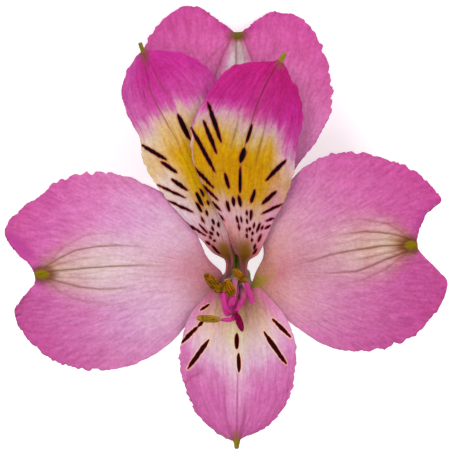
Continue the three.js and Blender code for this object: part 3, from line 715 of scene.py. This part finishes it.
INNER_LOWER = [
    [[2.3, -3.5, 4.2], [0, -5.4, 3.5], [-2.3, -3.5, 4.2]],
    [[4.2, -3.0, 6.8], [0.1, -6.2, 6.2], [-4.2, -3.4, 6.8]],
    [[6.4, -5.0, 9.0], [0.1, -8.2, 8.4], [-6.4, -5.4, 9.0]],
    [[8.6, -7.6, 10.4], [0.1, -10.6, 10.2], [-8.5, -8.2, 10.4]],
    [[10.2, -11.0, 11.3], [0.2, -13.6, 11.4], [-9.6, -11.6, 11.3]],
    [[10.8, -14.8, 11.5], [0.3, -16.8, 12.0], [-10.1, -15.2, 11.5]],
    [[10.4, -18.6, 11.2], [0.3, -20.0, 12.3], [-9.7, -18.6, 11.2]],
    [[9.7, -22.2, 10.6], [0.3, -23.0, 12.2], [-8.8, -22.0, 10.6]],
    [[7.8, -25.6, 10.0], [0.2, -25.8, 11.8], [-7.2, -25.4, 10.0]],
    [[5.0, -28.0, 9.8], [0.2, -28.0, 11.3], [-4.8, -28.1, 9.8]],
    [[2.2, -29.5, 9.9], [0.1, -29.4, 10.8], [-2.2, -29.7, 9.9]],
    [[0.5, -30.1, 10.0], [0.1, -30.4, 10.3], [-0.5, -30.2, 10.0]],
    [[0.3, -31.7, 10.0], [0.1, -31.9, 10.1], [-0.1, -31.7, 10.0]],
]
LOWER_FLECKS = [
    ((-4.9, -5.9), (-6.5, -7.0), 0.5),
    ((-5.9, -8.9), (-7.0, -9.9), 0.6),
    ((-7.0, -9.9), (-9.9, -12.8), 0.75),
    ((-4.9, -12.2), (-8.7, -17.4), 0.85),
    ((0.1, -11.1), (0.1, -13.9), 0.75),
    ((0.4, -14.6), (0.5, -18.0), 0.75),
    ((6.6, -8.5), (9.9, -11.8), 0.7),
    ((5.0, -10.8), (9.0, -16.5), 0.85),
]
LOWER_VEINS = [
    ([(0.1, -30.4), (0.2, -24), (0.3, -14)], VEIN_WIDTH, 0.95),
    ([(-0.5, -30.0), (-1.5, -27.6), (-2.1, -24), (-2.3, -17)], 0.32, 0.6),
    ([(0.6, -29.8), (1.3, -27.2), (1.5, -25.4), (1.9, -21)], 0.36, 0.8),
    ([(-1.0, -29.4), (-3.2, -25), (-3.4, -18)], 0.22, 0.2),
    ([(1.4, -28.8), (3.6, -24), (4.0, -17)], 0.22, 0.2),
    ([(-9.4, -20.3), (-8.2, -18.9), (-6.3, -18.0), (-4.6, -17.6)], 0.4, 0.75),
    ([(-9.0, -18.6), (-7.4, -17.6), (-5.8, -17.2)], 0.3, 0.4),
]
LOWER_BLADE = {"seed": 53.0, "torn": 0.35, "toothed_to": 0.95, "ruffle": 0.5, "thickness": 0.42, "fan": False}
LOWER_TIP = ((0.0, -31.2), (0.55, 1.5), 0)
lower = blade("petal_inner_lower", INNER_RING, [305, 270, 235], INNER_LOWER, LOWER_BLADE, LOWER_VEINS,
              LOWER_FLECKS, LOWER_TIP)
lower.data.materials.append(lower_front)
lower.data.materials.append(outer_back)
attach(lower, "root")
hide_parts("inner_tepal_lower")


# ---------------------------------------------------------------- upper inner tepals
# The two upper inner tepals start as deep gutters that hold nectar and open into narrow pointed
# blades, the right one over the left. They have a magenta tip, a yellow middle and dark flecks.
upper_fronts = {
    "left": tepal_finish(
        "upper left tepal front",
        rib=[(3, "a86c60"), (6, "d08c84"), (7.5, "e4b0b4"), (10, "dcb8c4"), (12.5, "d8b090"),
             (14.5, "d4a01c"), (20, "d8a400"), (25, "d8a008"), (28, "dcb470"), (30.2, "dcb4a0"),
             (31.6, "cc70a4"), (33, "c8449a"), (38, "c02888")],
        field=[(3, "a86c60"), (6, "d09088"), (8, "e4b8bc"), (11, "e0bcbc"), (14, "d8a848"), (18, "d8a40c"),
               (24, "dca418"), (28, "deb880"), (30, "dcb4ac"), (31.8, "d074ac"), (33.2, "ca4c9c"),
               (38, "c22e8e")],
        edge=[(4, "c06c74"), (7, "dc949c"), (10, "e4b4c4"), (14, "e2c4d0"), (18, "e4ccc4"), (21, "e2cabc"),
              (23, "deb680"), (25.5, "dcb888"), (28, "dcc4a8"), (30, "d8a0b4"), (32.2, "d068aa"),
              (38, "c44c9c")],
        stripe=(0.05, 0.5), rims=(0.12, 0.4, 0.98, 1.0), vein_tint="8c3c50", gland=("7c7018", "7c4830"),
    ),
    "right": tepal_finish(
        "upper right tepal front",
        rib=[(3, "a46c60"), (5.6, "c88c7c"), (7, "e0a8a8"), (9.5, "e4b8c0"), (11.5, "d8aca0"),
             (13.5, "cc9418"), (16, "d09400"), (19, "c68a00"), (22, "c99404"), (24, "ccac6c"),
             (25.6, "d0aca4"), (27.6, "c85c94"), (29.4, "bf3488"), (37, "ba1a74")],
        field=[(3, "a46c60"), (5.6, "cc8c80"), (7, "e0a0a4"), (9.5, "e0b0bc"), (12, "d4a890"),
               (14.5, "cc981c"), (19, "ca9000"), (22.5, "cc960c"), (24.5, "cca040"), (26, "cca48c"),
               (27.2, "cc98ac"), (28.6, "c44a98"), (30, "bc2884"), (37, "ba1a74")],
        edge=[(4, "b46870"), (6, "dc848c"), (9, "dc8898"), (13, "dc9cbc"), (15.5, "cf8ca0"),
              (17.5, "cc9480"), (20, "cc9c70"), (22, "d0a494"), (23.8, "d8aab4"), (25.3, "cc84b0"),
              (27.2, "c64a9a"), (31, "c0288a"), (37, "b81a74")],
        stripe=(0.05, 0.5), rims=(0.0, 0.03, 0.74, 0.94), vein_tint="7c2c34", tilt=2.0,
        gland=("8c8c1c", "9c4c50"),
    ),
}
INNER_LEFT = [
    [[-1.8, 2.0, 4.2], [-1.3, 2.5, 3.3], [-0.7, 2.4, 4.4]],
    [[-4.2, 3.6, 7.8], [-2.3, 3.9, 6.0], [-1.0, 4.4, 8.0]],
    [[-5.9, 5.6, 10.0], [-3.2, 6.6, 8.6], [-1.4, 7.4, 10.2]],
    [[-8.6, 8.7, 11.6], [-4.5, 10.2, 10.8], [-2.2, 11.4, 11.4]],
    [[-11.8, 12.3, 12.8], [-5.9, 14.0, 12.6], [-3.4, 15.4, 12.0]],
    [[-14.6, 16.2, 13.6], [-7.4, 17.8, 13.9], [-4.2, 19.2, 12.5]],
    [[-16.8, 20.2, 14.0], [-9.2, 21.6, 14.8], [-4.0, 23.0, 12.8]],
    [[-17.3, 24.2, 14.0], [-11.0, 25.4, 15.2], [-3.2, 26.8, 12.8]],
    [[-19.3, 28.0, 13.6], [-12.7, 28.8, 15.3], [-2.6, 30.6, 12.6]],
    [[-20.5, 32.0, 13.2], [-14.2, 32.2, 15.1], [-3.4, 34.2, 12.5]],
    [[-19.8, 35.5, 13.2], [-15.3, 35.2, 14.8], [-5.8, 37.3, 12.7]],
    [[-18.6, 37.4, 13.4], [-16.0, 37.4, 14.5], [-9.6, 39.4, 12.9]],
    [[-17.6, 38.7, 13.6], [-16.5, 39.0, 14.2], [-13.6, 39.9, 13.2]],
    [[-16.9, 39.4, 13.7], [-16.6, 39.7, 13.9], [-16.2, 39.8, 13.7]],
    [[-17.4, 41.1, 13.6], [-17.3, 41.2, 13.7], [-17.1, 41.2, 13.6]],
]
INNER_RIGHT = [
    [[0.7, 2.4, 4.8], [1.4, 2.3, 3.5], [2.1, 1.8, 4.4]],
    [[-0.2, 3.7, 8.4], [1.7, 3.6, 6.4], [3.9, 3.2, 7.8]],
    [[-1.2, 6.2, 11.2], [1.5, 6.2, 9.4], [5.3, 6.0, 10.6]],
    [[-2.4, 9.2, 13.0], [1.2, 9.6, 11.8], [6.9, 9.6, 12.4]],
    [[-4.4, 13.0, 14.6], [0.7, 13.2, 13.6], [8.8, 13.2, 13.6]],
    [[-6.4, 16.6, 16.0], [0.7, 16.8, 15.0], [10.0, 16.8, 14.2]],
    [[-7.8, 20.2, 17.0], [1.1, 20.4, 16.0], [10.7, 20.2, 14.4]],
    [[-8.1, 23.8, 17.4], [1.9, 23.8, 16.6], [10.9, 23.4, 14.4]],
    [[-7.6, 27.4, 17.2], [2.9, 27.2, 16.9], [11.9, 27.0, 14.4]],
    [[-5.6, 31.0, 16.8], [4.1, 30.4, 16.8], [11.7, 30.2, 14.3]],
    [[-3.2, 34.4, 16.0], [5.3, 33.2, 16.6], [10.8, 33.0, 14.4]],
    [[-0.4, 37.0, 15.4], [6.3, 35.4, 16.2], [9.6, 34.8, 14.7]],
    [[3.6, 37.6, 15.1], [7.1, 36.9, 15.8], [8.9, 36.2, 15.0]],
    [[7.3, 37.8, 15.2], [7.8, 37.8, 15.4], [8.2, 37.4, 15.2]],
    [[8.5, 39.2, 15.2], [8.7, 39.3, 15.3], [8.9, 39.1, 15.2]],
]
LEFT_FLECKS = [
    ((-10.5, 28.3), (-8.3, 23.8), 0.9),
    ((-17.0, 22.9), (-12.4, 20.2), 0.68),
    ((-13.4, 19.9), (-10.6, 17.9), 0.68),
    ((-11.6, 16.8), (-8.8, 14.8), 0.68),
    ((-14.2, 15.8), (-9.1, 13.4), 0.45),
    ((-12.3, 13.0), (-7.7, 10.8), 0.45),
    ((-9.5, 9.2), (-5.6, 6.6), 0.38),
    ((-7.2, 14.4), (-6.0, 12.0), 0.6),
    ((-6.5, 15.1), (-5.8, 13.7), 0.52),
    ((-7.3, 12.7), (-6.2, 11.0), 0.6),
    ((-5.5, 11.2), (-5.2, 10.2), 0.52),
    ((-5.2, 13.0), (-4.9, 12.2), 0.45),
    ((-6.4, 10.1), (-5.7, 8.9), 0.52),
    ((-6.7, 8.7), (-5.3, 7.1), 0.38),
    ((-4.3, 9.6), (-4.0, 8.7), 0.45),
    ((-3.2, 9.2), (-3.1, 8.3), 0.45),
    ((-4.5, 8.3), (-4.1, 7.5), 0.45),
    ((-3.4, 7.3), (-3.1, 6.6), 0.45),
    ((-4.8, 7.4), (-4.3, 6.8), 0.45),
    ((-4.9, 6.6), (-4.5, 6.0), 0.45),
    ((-4.1, 5.9), (-3.9, 5.6), 0.45),
    ((-5.6, 5.6), (-4.9, 5.0), 0.45),
    ((-4.6, 4.9), (-3.1, 3.2), 0.45),
]
RIGHT_FLECKS = [
    ((-5.1, 30.5), (-2.7, 23.3), 0.8),
    ((-5.9, 27.2), (-3.5, 21.3), 0.72),
    ((-8.1, 25.9), (-3.8, 18.0), 0.72),
    ((2.8, 26.5), (1.8, 23.2), 0.65),
    ((1.5, 22.3), (0.7, 19.7), 1.09),
    ((0.7, 19.0), (0.7, 14.4), 0.58),
    ((-2.1, 17.8), (-1.3, 15.1), 0.72),
    ((8.9, 20.2), (5.3, 16.5), 0.72),
    ((3.4, 14.9), (2.7, 12.6), 0.72),
    ((7.2, 14.6), (4.6, 12.3), 0.72),
    ((8.3, 12.3), (4.6, 10.6), 0.51),
    ((-7.6, 18.9), (-4.1, 15.2), 0.58),
    ((-6.5, 16.1), (-3.2, 12.9), 0.51),
    ((-5.2, 13.4), (-2.7, 11.0), 0.43),
    ((-4.2, 11.6), (-2.2, 9.3), 0.36),
    ((-0.6, 13.6), (-0.4, 12.0), 0.65),
    ((0.4, 13.9), (0.8, 11.9), 0.72),
    ((-1.8, 12.9), (-1.2, 11.0), 0.58),
    ((1.9, 11.2), (2.0, 10.3), 0.43),
    ((2.7, 11.3), (2.6, 9.5), 0.51),
    ((0.0, 10.2), (0.3, 9.0), 0.43),
    ((0.8, 10.1), (1.0, 9.1), 0.43),
    ((1.9, 9.7), (2.1, 8.8), 0.43),
    ((3.3, 9.0), (3.2, 8.0), 0.43),
    ((4.4, 9.0), (3.8, 7.3), 0.43),
    ((4.9, 8.5), (4.6, 7.8), 0.43),
    ((6.9, 9.8), (5.4, 9.3), 0.43),
    ((6.2, 8.5), (5.2, 7.9), 0.43),
    ((2.5, 8.2), (2.5, 7.6), 0.43),
    ((0.4, 8.7), (0.6, 7.7), 0.43),
    ((1.9, 8.0), (2.0, 7.3), 0.43),
    ((3.0, 7.4), (3.0, 6.8), 0.43),
    ((1.8, 7.0), (2.0, 6.3), 0.43),
    ((2.9, 6.2), (2.9, 5.6), 0.43),
    ((4.6, 7.0), (4.1, 5.6), 0.43),
    ((3.6, 5.2), (3.4, 4.2), 0.43),
    ((3.9, 4.3), (3.2, 3.2), 0.43),
]
LEFT_UPPER_VEINS = [
    ([(-16.6, 39.6), (-15.6, 33), (-13.9, 29.4), (-12.2, 26.3), (-10.8, 24.1), (-8, 18.5)], VEIN_WIDTH, 0.85),
    ([(-16, 38.9), (-13.9, 34.4), (-12.2, 31.6), (-10.8, 29.4)], VEIN_WIDTH, 0.8),
    ([(-16.4, 38.9), (-16.8, 34.4), (-16.2, 30.6), (-14.6, 26)], VEIN_WIDTH, 0.4),
]
RIGHT_UPPER_VEINS = [
    ([(7.6, 37.5), (6, 35), (4.9, 32.8), (3.8, 30.2), (2.9, 27.4), (1.5, 22.5), (0.7, 17), (0.6, 13)],
     VEIN_WIDTH, 0.9),
    ([(0.6, 28), (0.1, 26.3), (-1.4, 20.7)], VEIN_WIDTH, 0.6),
    ([(5.3, 27), (4.9, 25.2), (2.9, 17.4)], VEIN_WIDTH, 0.6),
    ([(7.9, 37.4), (8.2, 33), (7.6, 29), (6.4, 25)], VEIN_WIDTH, 0.4),
]
NARROW_BLADE = {"torn": 0.25, "toothed_to": 0.95, "ruffle": 0.45, "thickness": 0.4, "fan": False}
UPPER_TEPALS = {
    "left": {
        "angles": [150, 130, 110], "stations": INNER_LEFT, "veins": LEFT_UPPER_VEINS, "flecks": LEFT_FLECKS,
        "tip": ((-17.0, 40.6), (0.6, 1.4), 15), "pit_and_fold_shade": ((-2.05, 3.8), (1.7, 2.6), 20), "seed": 71.0,
    },
    "right": {
        "angles": [70, 50, 30], "stations": INNER_RIGHT, "veins": RIGHT_UPPER_VEINS, "flecks": RIGHT_FLECKS,
        "tip": ((8.5, 38.7), (0.7, 1.2), -25), "pit_and_fold_shade": ((1.65, 3.6), (2.0, 2.9), 0), "seed": 89.0,
    },
}
for side, tepal in UPPER_TEPALS.items():
    shape = {**NARROW_BLADE, "seed": tepal["seed"]}
    piece = blade(f"petal_inner_{side}", INNER_RING, tepal["angles"], tepal["stations"], shape,
                  tepal["veins"], tepal["flecks"], tepal["tip"], tepal["pit_and_fold_shade"])
    piece.data.materials.append(upper_fronts[side])
    piece.data.materials.append(outer_back)
    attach(piece, "root")
    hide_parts(f"inner_tepal_upper_{side}")


# ---------------------------------------------------------------- stamens
# Six thin pink stalks stand in a ring on the ovary, droop towards the lowest tepal and turn up
# again. Each carries a pollen sac, an olive-gold grain with dark furrows (partly painted shade), or a maroon
# unripe one.
SIDE_HINT = [0.9, 0.3, 0.2]
MERGE_WITHIN = 1e-6


def sweep(name, path, radius, steps, sides=14):
    """A round closed tube along a smooth path. `radius` gives its radius from the angle and length."""
    t = np.linspace(0, 1, steps + 1)
    spine = spline(path, t)
    ahead = unit(np.gradient(spine, axis=0))
    side = unit(np.cross(ahead[0], SIDE_HINT))
    ring = []
    for at, forward in zip(spine, ahead):
        side = unit(side - forward * (side @ forward))
        ring.append((at, side, np.cross(forward, side)))
    tube = bmesh.new()
    bmesh.ops.create_grid(tube, x_segments=sides, y_segments=steps, size=1)
    uv = tube.loops.layers.uv.new("UVMap")
    for face in tube.faces:
        face.smooth = True
        for loop in face.loops:
            loop[uv].uv = (loop.vert.co.x / 2 + 0.5, loop.vert.co.y / 2 + 0.5)
    for vert in tube.verts:
        angle = (vert.co.x + 1) * math.pi
        j = round((vert.co.y + 1) / 2 * steps)
        at, right, up = ring[j]
        r = radius(angle, j / steps)
        vert.co = as_laid(at + r * (math.cos(angle) * right + math.sin(angle) * up))
    bmesh.ops.remove_doubles(tube, verts=tube.verts, dist=MERGE_WITHIN)
    bmesh.ops.holes_fill(tube, edges=[e for e in tube.edges if e.is_boundary], sides=0)
    tube.normal_update()
    bmesh.ops.recalc_face_normals(tube, faces=tube.faces)
    piece = bpy.data.objects.new(name, bpy.data.meshes.new(name))
    tube.to_mesh(piece.data)
    tube.free()
    bpy.context.scene.collection.objects.link(piece)
    return piece


STAMEN_PATHS = {
    "upper_left": (210, [(-1.2, -3.2, 6), (-1.5, -5.5, 11), (-1.4, -7.4, 15.2), (-1.9, -6.3, 17.6)]),
    "upper_middle": (90, [(-0.3, -2.0, 6), (-0.5, -3.7, 11), (-0.7, -5.2, 15.6), (-0.9, -5.6, 18.4)]),
    "upper_right": (30, [(1.6, -2.3, 6), (2.5, -4.0, 11), (2.9, -5.2, 15.4), (2.7, -4.8, 17.4)]),
    "lower_left": (270, [(-0.2, -4.3, 6), (-0.2, -6.9, 11), (-0.3, -8.1, 15), (-1.1, -8.4, 17.2)]),
    "lower_middle": (330, [(1.2, -3.7, 6), (1.3, -4.8, 11), (0.8, -5.5, 14.4), (0.3, -6.1, 16.3)]),
    "hindmost": (150, [(-1.6, -1.7, 6), (-2.0, -3.4, 11), (-2.2, -4.5, 14.2)]),
}


STALK_ROUGHNESS = 0.4
STALK_SOFTNESS = 0.2
STEM_LIGHT_SPREAD = 0.6
POLLEN_ROUGHNESS = 0.85
POLLEN_SHINE = 0.05
FURROW_TINT_AND_SHADE = "2c1602"


def stalk_finish():
    f = Finish("stalk")
    split = f.nodes.new("ShaderNodeSeparateXYZ")
    f.links.new(f.place("UV"), split.inputs[0])
    tint = f.ramp(split.outputs[1], [(0.0, "d8a0b8"), (0.3, "e070a8"), (0.6, "dc349c"), (1.0, "cc1488")])
    mottle = f.noise(f.place("Object"), 900, 3)
    tint = f.mix(0.5, tint, f.ramp(mottle, [(0.3, 0.36), (0.7, 0.64)]), "SOFT_LIGHT")
    f.links.new(tint, f.shader.inputs["Base Color"])
    f.shader.inputs["Roughness"].default_value = STALK_ROUGHNESS
    f.shader.inputs["Subsurface Weight"].default_value = STALK_SOFTNESS
    f.shader.inputs["Subsurface Scale"].default_value = STEM_LIGHT_SPREAD * MM
    f.bump(mottle, 0.3, 0.1)
    return f.material


def pollen_finish(name, dark, light, speck):
    f = Finish(name)
    grain = f.noise(f.place("Object"), 2600, 4, 0.7)
    patch = f.noise(f.place("Object"), 900, 2)
    powder = f.math("ADD", f.math("MULTIPLY", grain, 0.6), f.math("MULTIPLY", patch, 0.4))
    tint = f.ramp(powder, [(0.4, dark), (0.6, light)])
    tint = f.mix(f.ramp(patch, [(0.58, 0.0), (0.68, 0.6)]), tint, speck)
    # The furrows are painted dark: partly the sac's own dark lines, partly painted shade in the furrows and
    # along the sides.
    tint = f.mix(f.attribute("furrow_and_shade"), tint, FURROW_TINT_AND_SHADE)
    f.links.new(tint, f.shader.inputs["Base Color"])
    f.shader.inputs["Roughness"].default_value = POLLEN_ROUGHNESS
    f.shader.inputs["Specular IOR Level"].default_value = POLLEN_SHINE
    f.bump(grain, 0.9, 0.2)
    return f.material


FRONT_FURROWS = (-0.45, 0.05, 0.5)
FRONT_FURROW_DEPTH = 0.16
SIDE_FURROW_DEPTH = 0.14


def pollen_sac(name, anther, depth, blunt):
    """A closed grain with three crooked furrows down each face and one down each side."""
    sac = bmesh.new()
    bmesh.ops.create_uvsphere(sac, u_segments=64, v_segments=40, radius=1)
    furrow_and_shade = sac.verts.layers.float.new("furrow_and_shade")
    axis = unit(np.array(anther["towards"], float))
    across = unit(np.cross([0, 0, 1.0], axis))
    flat = np.cross(across, axis)
    middle = anther_middle(anther)
    for vert in sac.verts:
        x, y, z = vert.co
        angle = math.atan2(y, x)
        body = math.hypot(x, y)
        crooked = 0.1 * noise.noise(Vector((z * 1.6, middle[0], 3)))
        turned = math.cos(angle)
        front = sum(math.exp(-((turned - place - crooked) ** 2) / 0.008) for place in FRONT_FURROWS)
        lateral = math.exp(-((math.sin(angle)) ** 2) / 0.03)
        lumps = noise.noise(Vector((x * 3, y * 3, z * 3.5 + middle[0])))
        bumpy = 1 + 0.1 * lumps + 0.05 * noise.noise(vert.co * 9)
        dent = 1 - (FRONT_FURROW_DEPTH * front + SIDE_FURROW_DEPTH * lateral) * body
        swell = body ** (blunt - 1) if body > 1e-6 else 1.0
        # How dark a point is painted: the face furrows partly their own dark lines and partly painted shade,
        # the side furrows painted shade that outlines the sac.
        vert[furrow_and_shade] = min(1.0, (0.8 * front + 0.7 * lateral) * body)
        offset = across * x * dent * anther["width"] / 2 + flat * y * dent * depth / 2
        vert.co = as_laid(middle + bumpy * swell * offset + axis * z * anther["length"] / 2)
    for face in sac.faces:
        face.smooth = True
    sac.normal_update()
    bmesh.ops.recalc_face_normals(sac, faces=sac.faces)
    piece = bpy.data.objects.new(name, bpy.data.meshes.new(name))
    sac.to_mesh(piece.data)
    sac.free()
    bpy.context.scene.collection.objects.link(piece)
    return piece


stalk = stalk_finish()
POLLEN = {
    "ripe": pollen_finish("pollen", "603804", "b47a08", "b04c08"),
    "open": pollen_finish("fresh pollen", "703c04", "bc7c0c", "bc480c"),
    "old": pollen_finish("dry pollen", "885e10", "bc9030", "9c7018"),
    "closed": pollen_finish("unripe pollen sac", "74003c", "a00048", "b4045c"),
}
KINDS = {"upper_right": "open", "lower_left": "old", "lower_middle": "closed"}
ANTHER_DEPTH = 1.3
BLUNT, POINTED = 0.72, 1.15


def filament_radius(angle, t, flatness=0.25):
    """Rather flat from side to side, thickest below the pollen sac and thin where it carries it."""
    around = 1.1 - flatness * math.cos(2 * angle)
    return FILAMENT_DIAMETER / 2 * around * (0.9 + 0.3 * t - 0.55 * t**6)


def rounder_radius(angle, t):
    """The right-hand stalk, which is seen from its tip down, is round and slims where it turns up."""
    return filament_radius(angle, t, 0.05) * (1 - 0.25 * math.exp(-(((t - 0.66) / 0.14) ** 2)))


for name, anther in ANTHERS.items():
    angle, path = STAMEN_PATHS[name]
    route = [on_ring(STAMEN_RING, angle), *path, anther["tip"]]
    piece = sweep(f"stalk_{name}", route, rounder_radius if name == "upper_right" else filament_radius, 60)
    piece.data.materials.append(stalk)
    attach(piece, "root")
    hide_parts(f"filament_{name}")
    kind = KINDS.get(name, "ripe")
    sac = pollen_sac(f"pollen_{name}", anther, ANTHER_DEPTH, POINTED if kind == "closed" else BLUNT)
    sac.data.materials.append(POLLEN[kind])
    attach(sac, "root")
    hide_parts(f"anther_{name}")


# ---------------------------------------------------------------- style
# The style is one pink column between the stamens, thinner than they are, with a small stigma.
STYLE_PATH = [(0.2, -3.2, 6), (0.0, -4.7, 10), (-0.1, -5.4, 12.5)]


def style_radius(angle, t):
    return STYLE_DIAMETER / 2 * (1 - 0.25 * t + 0.3 * smooth(0.93, 1, t))


style = sweep("style_column", [on_ring(0, 0), *STYLE_PATH], style_radius, 50)
style.data.materials.append(stalk)
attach(style, "root")
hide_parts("style")


# ---------------------------------------------------------------- ovary and pedicel
# The ovary is a green top with six ribs, below the tepals. The pedicel carries on from it, bends
# evenly and ends in a plain cut.
OVARY_LENGTH = 8.0
OVARY_WAIST = 2.6
OVARY_RIBS = 6
RIB_HEIGHT = 0.3
OVARY_TOP_RADIUS = OUTER_RING + TEPAL_THICKNESS / 2 + RING_GAP
PEDICEL_DIAMETER = 1.9
PEDICEL_LENGTH = 19.0
PEDICEL_BEND = 42.0
PEDICEL_HEADING = 256.0
STEM_ROUGHNESS = 0.45
STEM_SOFTNESS = 0.1


def stem_finish(name, along_tints):
    f = Finish(name)
    uv = f.place("UV")
    split = f.nodes.new("ShaderNodeSeparateXYZ")
    f.links.new(uv, split.inputs[0])
    tint = f.ramp(split.outputs[1], along_tints)
    fibre = f.noise(uv, 1.0, 4, 0.6, (26, 6, 1))
    mottle = f.noise(f.place("Object"), 700, 3)
    tint = f.mix(0.6, tint, f.ramp(fibre, [(0.3, 0.34), (0.7, 0.66)]), "SOFT_LIGHT")
    tint = f.mix(0.4, tint, f.ramp(mottle, [(0.3, 0.38), (0.7, 0.62)]), "SOFT_LIGHT")
    f.links.new(tint, f.shader.inputs["Base Color"])
    f.shader.inputs["Roughness"].default_value = STEM_ROUGHNESS
    f.shader.inputs["Subsurface Weight"].default_value = STEM_SOFTNESS
    f.shader.inputs["Subsurface Scale"].default_value = STEM_LIGHT_SPREAD * MM
    f.bump(fibre, 0.4, 0.15)
    return f.material


def ovary_radius(angle, t):
    down = [0, 0.08, 0.3, 0.55, 0.8, 1]
    out = np.interp(t, down, [0.94, 1, 1, 0.78, 0.36, 0])
    r = OVARY_WAIST / 2 + (OVARY_TOP_RADIUS - OVARY_WAIST / 2) * out
    return r + RIB_HEIGHT * (r / OVARY_TOP_RADIUS) ** 2 * (math.cos(OVARY_RIBS * angle) - 1)


OVARY_GREENS = [(0.0, "9a8c5c"), (0.3, "7d9442"), (1.0, "6c8c34")]
ovary_path = [on_ring(0, 0, -share * OVARY_LENGTH) for share in (0.002, 0.5, 1)]
ovary = sweep("ovary_body", ovary_path, ovary_radius, 40, 72)
ovary.data.materials.append(stem_finish("ovary green", OVARY_GREENS))
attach(ovary, "root")
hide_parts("ovary")


def pedicel_path(points=9):
    bearing = math.radians(PEDICEL_HEADING)
    sideways = np.array([math.cos(bearing), math.sin(bearing), 0])
    path = [on_ring(0, 0, -OVARY_LENGTH - JOIN_GAP)]
    for i in range(1, points):
        turned = math.radians(PEDICEL_BEND * (i - 0.5) / (points - 1))
        heading = sideways * math.sin(turned) - np.array([0, 0, math.cos(turned)])
        path.append(path[-1] + heading * PEDICEL_LENGTH / (points - 1))
    return path


PEDICEL_GREENS = [(0.0, "6c8c34"), (0.9, "86a04a"), (0.985, "c2cc8c")]
PEDICEL_RIBS = 5


def pedicel_radius(angle, t):
    return PEDICEL_DIAMETER / 2 * (1 + 0.02 * math.cos(PEDICEL_RIBS * angle))


pedicel = sweep("flower_stalk", pedicel_path(), pedicel_radius, 60, 24)
pedicel.data.materials.append(stem_finish("stalk green", PEDICEL_GREENS))
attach(pedicel, "root")
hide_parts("pedicel")
